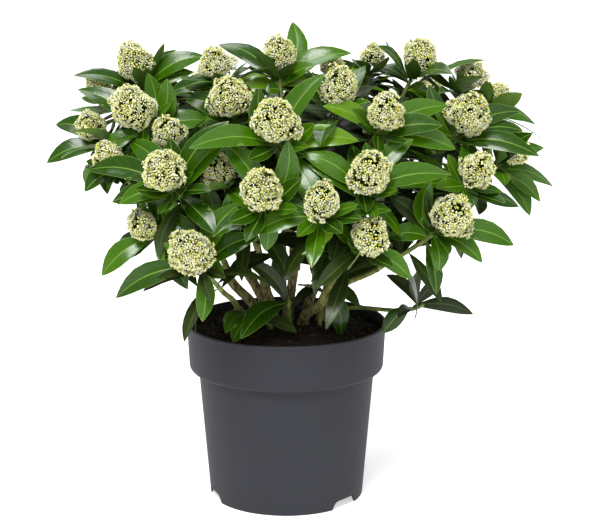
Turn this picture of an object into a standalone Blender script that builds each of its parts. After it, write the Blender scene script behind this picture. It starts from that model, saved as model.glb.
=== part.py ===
"""A potted skimmia in flower: a grey nursery pot of compost, eight woody stems that fork
into boughs, and on each bough a mass of leafy shoots that end in round flower heads.

Metres, +Z up. The origin is the middle of the pot's underside, and -Y faces the viewer.
"""

import math
import random

import bmesh
import bpy
from mathutils import Matrix, Vector
from mathutils.bvhtree import BVHTree

MM = 0.001
UP = Vector((0.0, 0.0, 1.0))
VIEWER = Vector((0.0, -1.0, 0.0))
GAP = 0.3 * MM
CLEARANCE = 0.5 * MM
SEED = 7

# The nursery pot
POT_HEIGHT = 205.0 * MM
RIM_RADIUS = 115.0 * MM
FOOT_RADIUS = 88.6 * MM
WALL = 1.8 * MM
LIP_WIDTH = 2.6 * MM
LIP_HEIGHT = 4.0 * MM
EDGE_ROUND = 0.8 * MM
FLOOR_UNDERSIDE = 10.5 * MM
FLOOR_TOP = 12.5 * MM
BOSS_RADIUS = 26.0 * MM
SHOULDER_HEIGHT = 150.0 * MM
SHOULDER_RADIUS = 101.2 * MM
COLLAR_HEIGHT = 157.5 * MM
COLLAR_RADIUS = 112.1 * MM
POT_SIDES = 36
NOTCH_HEIGHT = 10.0 * MM
NOTCH_COUNT = 3
NOTCH_BEARING = 49.5
NOTCH_HALF_ANGLE = 13.5
NOTCH_TOP_SHARE = 0.72

# The compost
SOIL_GAP = 0.4 * MM
SOIL_EDGE = 192.0 * MM
SOIL_TOP = 205.5 * MM
SOIL_TOP_RADIUS = 58.0 * MM
SOIL_SHELF = 14.0 * MM

# The rounded outline that the flower heads sit on
DOME_RADIUS_X = 248.0 * MM
DOME_RADIUS_Y = 200.0 * MM
DOME_RADIUS_Z = 185.0 * MM
DOME_CENTRE_Z = 330.0 * MM
DOME_POWER = 2.5
EYE = Vector((16.0 * MM, -2000.0 * MM, 730.0 * MM))

# Stems, boughs and shoots
HEART = Vector((0.0, 0.0, 225.0 * MM))
FORK_SHARE = 0.30
BOUGH_SHARE = 0.50
STEM_RADIUS = 5.6 * MM
STEM_TIP_RADIUS = 4.6 * MM
BOUGH_RADIUS = 3.3 * MM
BOUGH_TIP_RADIUS = 2.7 * MM
SHOOT_RADIUS = 3.2 * MM
SHOOT_TIP_RADIUS = 2.6 * MM
FLARE = 1.4
STEM_SIDES, BOUGH_SIDES, SHOOT_SIDES = 7, 5, 3
STEM_STEPS, BOUGH_STEPS, SHOOT_STEPS = 4, 3, 3

# Leaves and flower heads
NECK = 1.0 * MM
WHORL_LEAVES = 7
LOWER_LEAVES = 1
SPRIG_LEAVES = 6
SMALL_HEAD = 37.0
HIP_LEAN, HIP_WIDTH, HIP_SIZE = -0.25, 0.45, 0.08
LEAF_LENGTH = 79.0 * MM
CREST_HEIGHT = 470.0 * MM
CREST_LEAF_SHARE = 0.88
LEAF_WIDTH_SHARE = 0.36
PETIOLE = 0.9 * MM
GOLDEN_ANGLE = math.radians(137.508)
FIRST_LEAF_DROP, LEAF_STEP = 4.0 * MM, 2.5 * MM
LOW_LEAF_DROP, LOW_LEAF_STEP = 28.0 * MM, 9.0 * MM
LEAF_SPREAD = 66.0
LEAF_BEND = 30.0
MARKED_BEND, CUPPED_BEND, UPRIGHT = 34.0, -40.0, 0.8
MARKED_WIDTHS = (66.0 * MM, 82.0 * MM)
FUSED_SHARE = 0.16
# A leaf that touches something is tried again, turned by these degrees or, where its tip is
# marked, moved by these millimetres along its sight line, and then sprung from lower down
TURNS_TRIED = (0, 14, -14, 27, -27, 8, -8, 40, -40)
SHIFTS_TRIED = (0, 12, -12, 24, -24, 36, -36, 48, -48)
ROOTS_TRIED, ROOT_STEP, LESS_EACH_ROOT = 4, 4.0 * MM, 0.28
LIMB_TRIALS = 24

# Each stem: its foot on the compost, across and back, then the boughs that fork from it, and on
# each bough its shoots: where the head shows on the upright plane through the pot's axis, across
# and up, then how far it is set in behind the dome, and its width, all in millimetres.
STEMS = {
    "left": ((-30, -8), {
        "left_high": [(-169, 501, -25, 46), (-173, 451, 0, 49), (-209, 474, 8, 34)],
        "left_side": [(-218, 429, 15, 36), (-200, 396, 18, 32), (-164, 316, 35, 35)],
        "left_front": [(-133, 422, 40, 37), (-139, 378, 0, 48)],
    }),
    "low_left": ((-38, -30), {"low_left": [(-111, 284, 0, 49)]}),
    "mid_left": ((-14, -22), {
        "top_left": [(-78, 500, 0, 38), (-62, 461, 24, 48)],
        "front_left": [(-77, 380, 44, 38), (-27, 357, 0, 48)],
    }),
    "centre": ((2, -6), {
        "top_centre": [(-7, 510, 0, 42), (-11, 435, 0, 50)],
        "top_right": [(60, 473, 5, 42), (51, 497, 60, 30), (111, 444, 0, 43)],
    }),
    "right": ((40, -6), {
        "right_crest": [(149, 507, 0, 45), (96, 508, 40, 32)],
        "right_high": [(206, 488, 25, 38), (203, 441, 0, 50), (236, 464, 40, 34)],
        "right_side": [(255, 402, 10, 40), (216, 379, 0, 42)],
    }),
    "front_right": ((19, -25), {
        "front_right": [(95, 377, 0, 48), (41, 345, 0, 41)],
        "low_front": [(95, 304, 10, 43)],
        "low_right": [(188, 326, 0, 48)],
    }),
}
# The stems that the flowering front hides: foot, and the bearing of each bough from the right in
# degrees, the same to either side, then the turn from that bearing, height and width of its heads,
# which the skew moves the other way on the other side. A width of 0 is a shoot with no flowers.
REAR_STEMS = {"rear_right": (24, 26), "rear_left": (-24, 27)}
REAR_BOUGHS = {
    "side": (36, [(-4, 455, 42), (16, 415, 46), (14, 340, 42), (-6, 385, 0)]),
    "back": (74, [(-12, 462, 42), (6, 425, 46), (-8, 385, 44), (8, 338, 42)]),
}
REAR_SKEW_BEARING, REAR_SKEW_UP = 4, 5
LEAFY_INSET = 0.12
# Leafy shoots near the compost: foot across and back, then tip across, back and up
SPRIGS = {
    "sprig_left": ((-17, -46), (-37, -62, 231)),
    "sprig_centre": ((4, -42), (3, -58, 243)),
    "sprig_middle": ((38, -34), (46, -40, 262)),
    "sprig_right": ((54, -8), (154, -34, 232)),
}
# The leaves that stand out against the sky: for a bough, the shoot's number, then where the tip
# shows, across and up, and how far it lies behind the shoot's neck
MARKED_LEAVES = {
    "top_centre": [(0, 8, 552, 0), (0, -74, 525, 0), (0, 72, 513, 0), (1, 44, 490, 0)],
    "top_left": [(0, -113, 475, -20), (0, -64, 493, -20)],
    "left_high": [(0, -122, 516, 10), (0, -92, 510, 0), (0, -235, 492, 0), (1, -233, 473, -10),
                  (1, -214, 392, -12)],
    "left_side": [(0, -259, 434, 10), (0, -242, 425, -30), (0, -270, 390, 0),
                  (1, -228, 356, -10), (2, -211, 258, -20)],
    "left_front": [(1, -224, 382, 0)],
    "low_left": [(0, -196, 233, 10), (0, -97, 204, -20), (0, -142, 335, 20), (0, -35, 304, 0)],
    "right_crest": [(0, 221, 508, 0), (0, 107, 521, 0), (0, 104, 497, -25), (0, 182, 492, -20)],
    "right_high": [(0, 220, 487, -25), (0, 191, 478, -20), (2, 282, 436, 0), (1, 266, 429, -30),
                   (1, 264, 450, -10), (1, 285, 398, 0)],
    "right_side": [(0, 275, 421, -20), (0, 291, 408, 10), (0, 304, 363, 10), (0, 288, 345, -15),
                   (0, 277, 328, -10)],
    "low_right": [(0, 260, 294, -5), (0, 224, 273, 0), (0, 174, 262, -10)],
    "sprig_left": [(0, -69, 192, -25), (0, -61, 180, -30)],
    "sprig_centre": [(0, -52, 184, -32), (0, -1, 296, 0)],
    "sprig_middle": [(0, 63, 186, -48), (0, 84, 223, -20), (0, 36, 290, 0), (0, 67, 305, 0)],
    "sprig_right": [(0, 154, 267, 0), (0, 115, 259, 0), (0, 177, 249, 5), (0, 215, 213, 0),
                    (0, 112, 190, -10)],
}
# Where the sky shows beside and under the crown: the middle of each patch, across and up, and
# half its width and height
SKY = [
    (-235, 318, 46, 44), (-176, 266, 20, 9), (-158, 222, 34, 20), (-133, 237, 16, 20),
    (-66, 240, 15, 17), (100, 245, 24, 30), (146, 283, 14, 16), (138, 168, 26, 30),
    (192, 526, 26, 14), (230, 255, 34, 28), (238, 300, 16, 20), (-290, 420, 22, 90),
    (320, 380, 18, 70),
]


def clear_scene():
    for thing in list(bpy.data.objects):
        bpy.data.objects.remove(thing, do_unlink=True)


def material(name, colour, roughness):
    made = bpy.data.materials.new(name)
    made.use_nodes = True
    shader = made.node_tree.nodes["Principled BSDF"]
    shader.inputs["Base Color"].default_value = (*colour, 1.0)
    shader.inputs["Roughness"].default_value = roughness
    shader.inputs["Metallic"].default_value = 0.0
    return made


def add_object(name, mesh, finish, smooth=True):
    mesh.materials.clear()
    mesh.materials.append(finish)
    if smooth:
        mesh.shade_smooth()
        mesh.set_sharp_from_angle(angle=math.radians(40))
    thing = bpy.data.objects.new(name, mesh)
    bpy.context.scene.collection.objects.link(thing)
    return thing


def mesh_from(name, corners, faces):
    mesh = bpy.data.meshes.new(name)
    mesh.from_pydata([tuple(c) for c in corners], [], faces)
    shape = bmesh.new()
    shape.from_mesh(mesh)
    bmesh.ops.recalc_face_normals(shape, faces=shape.faces[:])
    merge_flat_faces(shape, 0.3)
    shape.to_mesh(mesh)
    shape.free()
    return mesh


def merge_flat_faces(shape, degrees):
    """Joins neighbouring faces of a bmesh that lie within a small angle of one plane."""
    limit = math.radians(degrees)
    bmesh.ops.dissolve_limit(shape, angle_limit=limit, verts=shape.verts[:], edges=shape.edges[:])


def turned(profile, sides):
    """A bmesh turned about Z from a profile of (radius, height) that starts and ends on the axis."""
    shape = bmesh.new()
    line = [shape.verts.new((radius, 0.0, height)) for radius, height in profile]
    edges = [shape.edges.new(pair) for pair in zip(line, line[1:])]
    bmesh.ops.spin(
        shape, geom=line + edges, cent=(0, 0, 0), axis=(0, 0, 1), dvec=(0, 0, 0),
        angle=2 * math.pi, steps=sides, use_merge=True, use_duplicate=False,
    )
    bmesh.ops.remove_doubles(shape, verts=shape.verts[:], dist=1e-6)
    bmesh.ops.recalc_face_normals(shape, faces=shape.faces[:])
    return shape


def pot_profile():
    """From the middle of the underside, up the outside, over the rim and down the inside."""
    return [
        (0.0, 0.0),
        (BOSS_RADIUS, 0.0),
        (BOSS_RADIUS + 1.5 * MM, FLOOR_UNDERSIDE),
        (FOOT_RADIUS - WALL - EDGE_ROUND, FLOOR_UNDERSIDE),
        (FOOT_RADIUS - WALL, 0.0),
        (FOOT_RADIUS, 0.0),
        (SHOULDER_RADIUS, SHOULDER_HEIGHT),
        (COLLAR_RADIUS - 2.6 * MM, SHOULDER_HEIGHT + 2.0 * MM),
        (COLLAR_RADIUS, COLLAR_HEIGHT),
        (RIM_RADIUS - EDGE_ROUND, POT_HEIGHT - LIP_HEIGHT),
        (RIM_RADIUS, POT_HEIGHT - LIP_HEIGHT + EDGE_ROUND),
        (RIM_RADIUS, POT_HEIGHT - EDGE_ROUND),
        (RIM_RADIUS - EDGE_ROUND, POT_HEIGHT),
        (RIM_RADIUS - LIP_WIDTH, POT_HEIGHT),
        *inner_wall(),
        (0.0, FLOOR_TOP),
    ]


def inner_wall():
    """The inside of the pot, from just under the rim down to the corner of its floor."""
    return [
        (RIM_RADIUS - LIP_WIDTH - EDGE_ROUND, POT_HEIGHT - EDGE_ROUND),
        (COLLAR_RADIUS - WALL, COLLAR_HEIGHT + 2.0 * MM),
        (COLLAR_RADIUS - WALL - 3.0 * MM, SHOULDER_HEIGHT + 4.5 * MM),
        (SHOULDER_RADIUS - WALL, SHOULDER_HEIGHT),
        (FOOT_RADIUS - WALL + 1.0 * MM, FLOOR_TOP),
    ]


def soil_profile():
    """The compost fills the pot's inside, a hair clear of it, and rises round the stems."""
    (rim, rim_up), *wall = [(radius - SOIL_GAP, height) for radius, height in inner_wall()]
    (collar, collar_up) = wall[0]
    edge = collar + (rim - collar) * (SOIL_EDGE - collar_up) / (rim_up - collar_up)
    wall[-1] = (wall[-1][0], FLOOR_TOP + SOIL_GAP)
    return [
        (0.0, FLOOR_TOP + SOIL_GAP),
        *wall[::-1],
        (edge, SOIL_EDGE),
        (edge - SOIL_SHELF, SOIL_EDGE + 3.0 * MM),
        (SOIL_TOP_RADIUS, SOIL_TOP),
        (0.0, SOIL_TOP),
    ]


def crossing(start, heading, end, arrival, steps, swing=Vector()):
    """Points of a smooth limb from start along heading to end, where it points along arrival."""
    reach = (end - start).length / 3
    handle_out = start + heading * reach + swing
    handle_in = end - arrival * reach + swing
    points = []
    for step in range(steps + 1):
        t = step / steps
        s = 1 - t
        points.append(
            start * s**3 + handle_out * (3 * s * s * t) + handle_in * (3 * s * t * t) + end * t**3
        )
    return points


def across_of(direction):
    """A unit vector square to direction."""
    other = Vector((1, 0, 0)) if abs(direction.x) < 0.7 else Vector((0, 1, 0))
    return direction.cross(other).normalized()


def tangents(points, first=None, last=None):
    """Unit directions along a run of points, with the end ones stated where given."""
    found = []
    for i in range(len(points)):
        ahead, behind = points[min(i + 1, len(points) - 1)], points[max(i - 1, 0)]
        found.append((ahead - behind).normalized())
    found[0] = first or found[0]
    found[-1] = last or found[-1]
    return found


def tube(points, radii, sides, first=None, last=None):
    """Corners and faces of a closed tapering limb whose ends are cut square to first and last."""
    headings = tangents(points, first, last)
    side = across_of(headings[0])
    corners, faces = [], []
    for point, radius, heading in zip(points, radii, headings):
        side = (side - heading * side.dot(heading)).normalized()
        other = heading.cross(side)
        for k in range(sides):
            turn = 2 * math.pi * k / sides
            corners.append(point + (side * math.cos(turn) + other * math.sin(turn)) * radius)
    rings = len(points)
    for i in range(rings - 1):
        for k in range(sides):
            a, b = i * sides + k, i * sides + (k + 1) % sides
            faces += [(a, b, b + sides), (a, b + sides, a + sides)]
    last_ring = (rings - 1) * sides
    for k in range(1, sides - 1):
        faces.append((0, k + 1, k))
        faces.append((last_ring, last_ring + k, last_ring + k + 1))
    return corners, faces


def blade_section(half, keel, grow):
    """The corners of a blade's section, out and up from its midrib, all clear of it if grown."""
    lift = 0.10 * half
    if not grow:
        return [(-half, lift), (0.0, -keel), (half, lift)]
    out = half + grow
    under = [(-out, lift - grow), (0.0, -keel - grow), (out, lift - grow)]
    return [(-out, lift + grow), *under, (out, lift + grow)]


class Leaf:
    """One leaf: where it springs from, the way it sets off, its upper side, and its sizes."""

    def __init__(self, root, heading, upper, length, width, bend):
        self.root, self.heading, self.length, self.width = root, heading, length, width
        self.upper = aside(heading, upper).normalized()
        self.side = heading.cross(self.upper)
        self.bend = bend

    def at(self, share):
        """The midrib's point at a share of the length, and the direction and upper side there."""
        steps = 8
        point, done = self.root.copy(), 0.0
        while done < share - 1e-9:
            step = min(1 / steps, share - done)
            angle = self.bend * (done + step / 2)
            point += (self.heading * math.cos(angle) - self.upper * math.sin(angle)) * (
                self.length * step
            )
            done += step
        angle = self.bend * share
        along = self.heading * math.cos(angle) - self.upper * math.sin(angle)
        return point, along, self.upper * math.cos(angle) + self.heading * math.sin(angle)

    def solid(self, grow=0.0, start=0.0):
        """Corners and faces of the plain blade: a shallow keel under a flat top, root to tip.
        A grown one stands clear of it on every side."""
        corners = []
        foot = PETIOLE / (self.width / 2) if start == 0 else 0.5
        for share, breadth, keel in ((start, foot, 0.8), (0.37, 0.93, 1.0), (0.71, 0.86, 0.8)):
            point, _, upper = self.at(share)
            half = self.width / 2 * breadth
            for out, up in blade_section(half, keel * MM, grow):
                corners.append(point + self.side * out + upper * up)
        tip, along, _ = self.at(1.0)
        corners.append(tip + along * grow)
        ring = (len(corners) - 1) // 3
        faces = [(0, k, k + 1) for k in range(1, ring - 1)]
        for k in range(ring):
            near, far = (k, (k + 1) % ring), (ring + k, ring + (k + 1) % ring)
            for a, b in (near, far):
                faces += [(a, b + ring, b), (a, a + ring, b + ring)]
            faces.append((2 * ring + k, 3 * ring, 2 * ring + (k + 1) % ring))
        return corners, faces


class Head:
    """A flower head: a blunt cone of blossom on its shoot's tip, with a few shallow lobes."""

    def __init__(self, middle, axis, width, rng):
        self.middle, self.axis, self.radius = middle, axis, width * MM / 2
        self.peak = rng.uniform(0.08, 0.22)
        self.lobes = []
        for _ in range(3):
            turn, tilt = rng.uniform(0, 2 * math.pi), rng.uniform(0.9, 1.7)
            side = across_of(axis)
            way = Matrix.Rotation(turn, 3, axis) @ (side * math.sin(tilt) + axis * math.cos(tilt))
            self.lobes.append((way, rng.uniform(0.03, 0.17)))

    def surface(self, way):
        """The point of its skin that lies along a unit direction from its middle."""
        lean = way.dot(self.axis)
        hip = math.exp(-(((lean - HIP_LEAN) / HIP_WIDTH) ** 2))
        reach = 0.88 + self.peak * max(lean, 0) ** 4 + HIP_SIZE * hip
        for lobe, size in self.lobes:
            reach += size * max(way.dot(lobe), 0) ** 6
        return self.middle + way * (self.radius * reach)

    def solid(self, grow=0.0):
        shape = bmesh.new()
        bmesh.ops.create_icosphere(shape, subdivisions=2, radius=1.0)
        corners = []
        for corner in shape.verts:
            way = corner.co.normalized()
            corners.append(self.surface(way) + way * grow)
        faces = [tuple(v.index for v in face.verts) for face in shape.faces]
        shape.free()
        return corners, faces


def skin_tree(corners, faces):
    """A search tree of a closed skin, in millimetres, as cuts of tiny faces would be missed."""
    return BVHTree.FromPolygons([corner / MM for corner in corners], faces)


def skin_of(shape):
    """The corners and faces of a bmesh."""
    shape.verts.index_update()
    return [v.co.copy() for v in shape.verts], [[v.index for v in f.verts] for f in shape.faces]


class Room:
    """Everything placed so far, so that a new piece can be tried against it."""

    def __init__(self):
        self.held = []

    def add(self, node, shape):
        corners, faces = shape
        tree = skin_tree(corners, faces)
        low = [min(c[i] for c in corners) for i in range(3)]
        high = [max(c[i] for c in corners) for i in range(3)]
        self.held.append((node, tree, low, high))

    def touches(self, shape, nodes=None, skip=()):
        """True if the shape's skin cuts the skin of a held piece, of these nodes only if named."""
        corners, faces = shape
        low = [min(c[i] for c in corners) for i in range(3)]
        high = [max(c[i] for c in corners) for i in range(3)]
        tree = None
        for node, other, their_low, their_high in self.held:
            if node in skip or (nodes is not None and node not in nodes):
                continue
            if any(low[i] > their_high[i] or high[i] < their_low[i] for i in range(3)):
                continue
            tree = tree or skin_tree(corners, faces)
            if tree.overlap(other):
                return True
        return False


class Shoot:
    """A leafy twig of one mass, and the head on its tip if it flowers."""

    def __init__(self, mass, tip, axis, head=None):
        self.mass, self.axis, self.head = mass, axis, head
        self.neck = head.middle - self.axis * (head.radius + NECK) if head else tip
        self.leaf_count = SPRIG_LEAVES
        if head:
            self.leaf_count = WHORL_LEAVES + (LOWER_LEAVES if head.radius > SMALL_HEAD / 2 * MM else 0)
        self.points, self.turn, self.marked = [], 0.0, []

    def below_neck(self, distance):
        """The point that far down the shoot from its neck, and the shoot's direction there."""
        points = self.points[: self.neck_index + 1]
        left = distance
        for high, low in zip(points[::-1], points[-2::-1]):
            span = (high - low).length
            if left <= span:
                return high.lerp(low, left / span), (high - low).normalized()
            left -= span
        return points[0].copy(), (points[1] - points[0]).normalized()


def dome(point):
    """Under 1 inside the rounded outline of the heads, and over 1 outside."""
    return (
        abs(point.x / DOME_RADIUS_X) ** DOME_POWER
        + abs(point.y / DOME_RADIUS_Y) ** DOME_POWER
        + abs((point.z - DOME_CENTRE_Z) / DOME_RADIUS_Z) ** DOME_POWER
    )


def on_sight(across, up, depth):
    """The point at a depth along Y that shows at (across, up) on the plane through the axis."""
    sight = Vector((across * MM, 0.0, up * MM)) - EYE
    return EYE + sight * ((depth - EYE.y) / sight.y)


def shown(point):
    """Where a point shows, across and up, on the plane through the axis."""
    sight = point - EYE
    seen = EYE - sight * (EYE.y / sight.y)
    return seen.x / MM, seen.z / MM


def hides_sky(leaf):
    """Whether a leaf's midrib shows in one of the places where the sky does."""
    for share in (0.35, 0.6, 0.8, 1.0):
        across, up = shown(leaf.at(share)[0])
        for middle, height, half_width, half_height in SKY:
            if ((across - middle) / half_width) ** 2 + ((up - height) / half_height) ** 2 < 1:
                return True
    return False


def behind_dome(across, up, inset):
    """The place of a head that shows at (across, up): down its sight line to the dome, and in."""
    shown = Vector((across * MM, 0.0, up * MM))
    sight = (shown - EYE).normalized()
    tries = 80
    reach = 1.15 * DOME_RADIUS_Y / sight.y
    marks = [shown + sight * reach * (2 * i / tries - 1) for i in range(tries + 1)]
    inside = [mark for mark in marks if dome(mark) <= 1]
    first = inside[0] if inside else min(marks, key=dome)
    return first + sight * inset * MM


def on_rear(bearing, up, side, width):
    """A place on the dome's surface at a bearing from the right, or from the left, and a height.
    The tip of a shoot with no flowers is further in."""
    turn = math.radians(bearing)
    level = 1 - abs((up * MM - DOME_CENTRE_Z) / DOME_RADIUS_Z) ** DOME_POWER
    spread = (
        abs(math.cos(turn) / DOME_RADIUS_X) ** DOME_POWER
        + abs(math.sin(turn) / DOME_RADIUS_Y) ** DOME_POWER
    )
    reach = (level / spread) ** (1 / DOME_POWER)
    place = Vector((side * math.cos(turn) * reach, math.sin(turn) * reach, up * MM))
    return place if width else place.lerp(HEART, LEAFY_INSET)


def head_plan(rng):
    """For each stem, its foot and its boughs, and for each bough the heads that it carries."""
    plan = {}
    for stem, (foot, boughs) in STEMS.items():
        places = {
            bough: [(behind_dome(across, up, inset), width) for across, up, inset, width in shoots]
            for bough, shoots in boughs.items()
        }
        plan[stem] = (foot, places)
    for stem, foot in REAR_STEMS.items():
        side = 1 if foot[0] > 0 else -1
        skew_bearing, skew_up = side * REAR_SKEW_BEARING, -side * REAR_SKEW_UP
        places = {
            f"{stem}_{bough}": [
                (on_rear(bearing + turn + skew_bearing, up + skew_up, side, width), width)
                for turn, up, width in shoots
            ]
            for bough, (bearing, shoots) in REAR_BOUGHS.items()
        }
        plan[stem] = (foot, places)
    for _, places in plan.values():
        for bough, heads in places.items():
            places[bough] = [
                Head(middle, ((middle - HEART).normalized() + UP * 0.3).normalized(), width, rng)
                for middle, width in heads
            ]
    return plan


def mean(points):
    points = list(points)
    return sum(points, Vector()) / len(points)


def tapered(start, end, count, flare=1.0):
    """Radii from start to end, the first widened by flare."""
    radii = [start + (end - start) * i / (count - 1) for i in range(count)]
    radii[0] *= flare
    return radii


def clear_run(room, node, start, heading, end, arrival, steps, radii, sides, rng, skip, last=None):
    """A limb's run of points that touches nothing held, found by swinging its middle aside."""
    for trial in range(LIMB_TRIALS):
        size = 0.0 if trial == 0 else (4 + 1.6 * trial) * MM
        swing = Vector([rng.uniform(-1, 1) for _ in range(3)]).normalized() * size
        points = crossing(start, heading, end, arrival, steps, swing)
        thick = [radius + 1.2 * CLEARANCE for radius in radii]
        if not room.touches(tube(points, thick, sides, heading, last), skip=skip):
            return points
    raise RuntimeError(f"{node} finds no clear way")


def grow_limbs(plan, room, rng):
    """Places the heads, stems, boughs and shoots. Returns each limb's points, radii, sides and
    end directions by its node, and the list of shoots."""
    limbs, shoots = {}, []
    for _, boughs in plan.values():
        for name, heads in boughs.items():
            for head in (head for head in heads if head.radius):
                if room.touches(head.solid(CLEARANCE), skip=(f"foliage_{name}",)):
                    raise RuntimeError(f"a head of {name} touches another")
                room.add(f"foliage_{name}", head.solid(CLEARANCE))
    for stem, (foot_place, boughs) in plan.items():
        node = f"stem_{stem}"
        necks = {
            name: mean([h.middle - h.axis * (h.radius + 12 * MM) for h in heads])
            for name, heads in boughs.items()
        }
        aim = mean(necks.values())
        foot = Vector((foot_place[0] * MM, foot_place[1] * MM, SOIL_TOP + GAP))
        fork = foot.lerp(aim, FORK_SHARE)
        lean = (aim - foot).normalized()
        rise = (lean + UP * 0.6).normalized()
        count = STEM_STEPS + 1
        radii = tapered(STEM_RADIUS, STEM_TIP_RADIUS, count, FLARE)
        points = clear_run(
            room, node, foot, UP, fork, rise, STEM_STEPS, radii, STEM_SIDES, rng, (), rise
        )
        limbs[node] = (points, radii, STEM_SIDES, (UP, rise))
        room.add(node, tube(points, radii, STEM_SIDES, UP, rise))
        grow_boughs(boughs, necks, fork, rise, node, limbs, shoots, room, rng)
    return limbs, shoots


def grow_boughs(boughs, necks, fork, rise, stem_node, limbs, shoots, room, rng):
    """Places a stem's boughs side by side on its tip, and the shoots on each bough."""
    count = len(boughs)
    spacing = 0.0 if count == 1 else (BOUGH_RADIUS + 0.25 * MM) / math.sin(math.pi / count)
    # Each bough takes the side of the tip that faces where it goes
    order = sorted(boughs, key=lambda name: bearing_on(rise, necks[name] - fork))
    zero = across_of(rise)
    if count > 1:
        ways = [aside(rise, necks[name] - fork) for name in order]
        zero = (ways[0] - mean(ways)).normalized()
    for i, name in enumerate(order):
        node, mass = f"bough_{name}", f"foliage_{name}"
        seat = Matrix.Rotation(2 * math.pi * i / count, 3, rise) @ zero * spacing
        start = fork + seat + rise * GAP
        aim = necks[name]
        end = start.lerp(aim, BOUGH_SHARE)
        arrival = (aim - start).normalized()
        radii = tapered(BOUGH_RADIUS, BOUGH_TIP_RADIUS, BOUGH_STEPS + 1)
        points = clear_run(
            room, node, start, rise, end, arrival, BOUGH_STEPS, radii, BOUGH_SIDES, rng,
            (stem_node,) + tuple(f"bough_{n}" for n in order[:i]), arrival,
        )
        limbs[node] = (points, radii, BOUGH_SIDES, (rise, arrival))
        room.add(node, tube(points, radii, BOUGH_SIDES, rise, arrival))
        root = end + arrival * GAP
        for number, head in enumerate(boughs[name]):
            shoot = Shoot(mass, head.middle, head.axis, head if head.radius else None)
            place_shoot(shoot, root, arrival, room, rng, (mass, node))
            shoot.marked = marks_of(name, number)
            shoots.append(shoot)


def marks_of(name, number):
    """Where the tips of one shoot's marked leaves show."""
    return [mark[1:] for mark in MARKED_LEAVES.get(name, ()) if mark[0] == number]


def aside(axis, way):
    """The part of a direction that is square to an axis."""
    return way - axis * way.dot(axis)


def bearing_on(axis, way):
    side = across_of(axis)
    return math.atan2(way.dot(axis.cross(side)), way.dot(side))


def place_shoot(shoot, root, heading, room, rng, skip):
    """Runs a shoot from its bough's tip to its neck, and on into its head."""
    radii = tapered(SHOOT_RADIUS, SHOOT_TIP_RADIUS, SHOOT_STEPS + 1)
    points = clear_run(
        room, shoot.mass, root, heading, shoot.neck, shoot.axis, SHOOT_STEPS, radii,
        SHOOT_SIDES, rng, skip, shoot.axis,
    )
    shoot.neck_index = len(points) - 1
    if shoot.head:
        points = points + [shoot.neck + shoot.axis * (NECK + 0.3 * shoot.head.radius)]
        radii = radii + [SHOOT_TIP_RADIUS]
    shoot.points, shoot.radii, shoot.start = points, radii, heading
    shoot.turn = rng.uniform(0, 2 * math.pi)
    room.add(shoot.mass, tube(points, radii, SHOOT_SIDES, heading, shoot.axis))


def grow_sprigs(room, rng):
    """The leafy shoots without flowers that spring from the compost."""
    made = []
    for name, (foot, tip) in SPRIGS.items():
        root = Vector((foot[0] * MM, foot[1] * MM, SOIL_TOP + GAP))
        end = Vector([value * MM for value in tip])
        axis = ((end - root).normalized() + UP * 0.5).normalized()
        shoot = Shoot(f"foliage_{name}", end, axis)
        place_shoot(shoot, root, UP, room, rng, (shoot.mass,))
        shoot.marked = marks_of(name, 0)
        made.append(shoot)
    return made


def marked_leaf(shoot, order, trial):
    """The shoot's marked leaf of that order, whose tip moves along its sight line with trials."""
    across, up, behind = shoot.marked[order]
    root_trial, shift_trial = divmod(trial, len(SHIFTS_TRIED))
    tip = on_sight(across, up, shoot.neck.y + (behind + SHIFTS_TRIED[shift_trial]) * MM)
    root, along = shoot.below_neck(FIRST_LEAF_DROP + LEAF_STEP * order + ROOT_STEP * root_trial)
    chord = (tip - root).normalized()
    # A leaf that stands up beside its head is cupped round it, and the others droop
    bend = math.radians(MARKED_BEND if chord.z < UPRIGHT else CUPPED_BEND)
    shared = 1 - LESS_EACH_ROOT * root_trial
    bend *= shared
    upper = aside(chord, along * 0.5 + UP * 0.35 + VIEWER * shared).normalized()
    heading = chord * math.cos(bend / 2) + upper * math.sin(bend / 2)
    length = (tip - root).length * (bend / 2) / math.sin(bend / 2)
    width = max(min(length, MARKED_WIDTHS[1]), MARKED_WIDTHS[0]) * LEAF_WIDTH_SHARE
    return Leaf(root, heading, upper, length, width, bend)


def whorl_leaf(shoot, order, trial, draws):
    """The shoot's leaf of that order, a little further aside and up with each trial."""
    low = order >= WHORL_LEAVES
    down = FIRST_LEAF_DROP + LEAF_STEP * order
    if low:
        down = LOW_LEAF_DROP + LOW_LEAF_STEP * (order - WHORL_LEAVES)
    root, along = shoot.below_neck(down)
    turn = shoot.turn + order * GOLDEN_ANGLE + math.radians(TURNS_TRIED[trial] + 8 * draws[0])
    spread = math.radians(LEAF_SPREAD + 13 * draws[1] + (10 if low else 0) + 2.5 * trial)
    out = Matrix.Rotation(turn, 3, along) @ across_of(along)
    heading = (along * math.cos(spread) + out * math.sin(spread)).normalized()
    upper = along * 0.75 + UP * 0.55 + out * 0.1 + Vector(draws[2:5]) * 0.22
    length = LEAF_LENGTH * (1 + 0.15 * draws[5]) * (1.0 - 0.035 * trial)
    if shoot.neck.z > CREST_HEIGHT:
        length *= CREST_LEAF_SHARE
    width = length * LEAF_WIDTH_SHARE * (1 + 0.10 * draws[3])
    return Leaf(root, heading, upper, length, width, math.radians(LEAF_BEND + 22 * draws[4]))


def fits(leaf, mass, room):
    """Whether a leaf clears every other node, and its blade the rest of its own."""
    if room.touches(leaf.solid(CLEARANCE), skip=(mass,)):
        return False
    return not room.touches(leaf.solid(CLEARANCE, start=FUSED_SHARE), nodes=(mass,))


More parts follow.
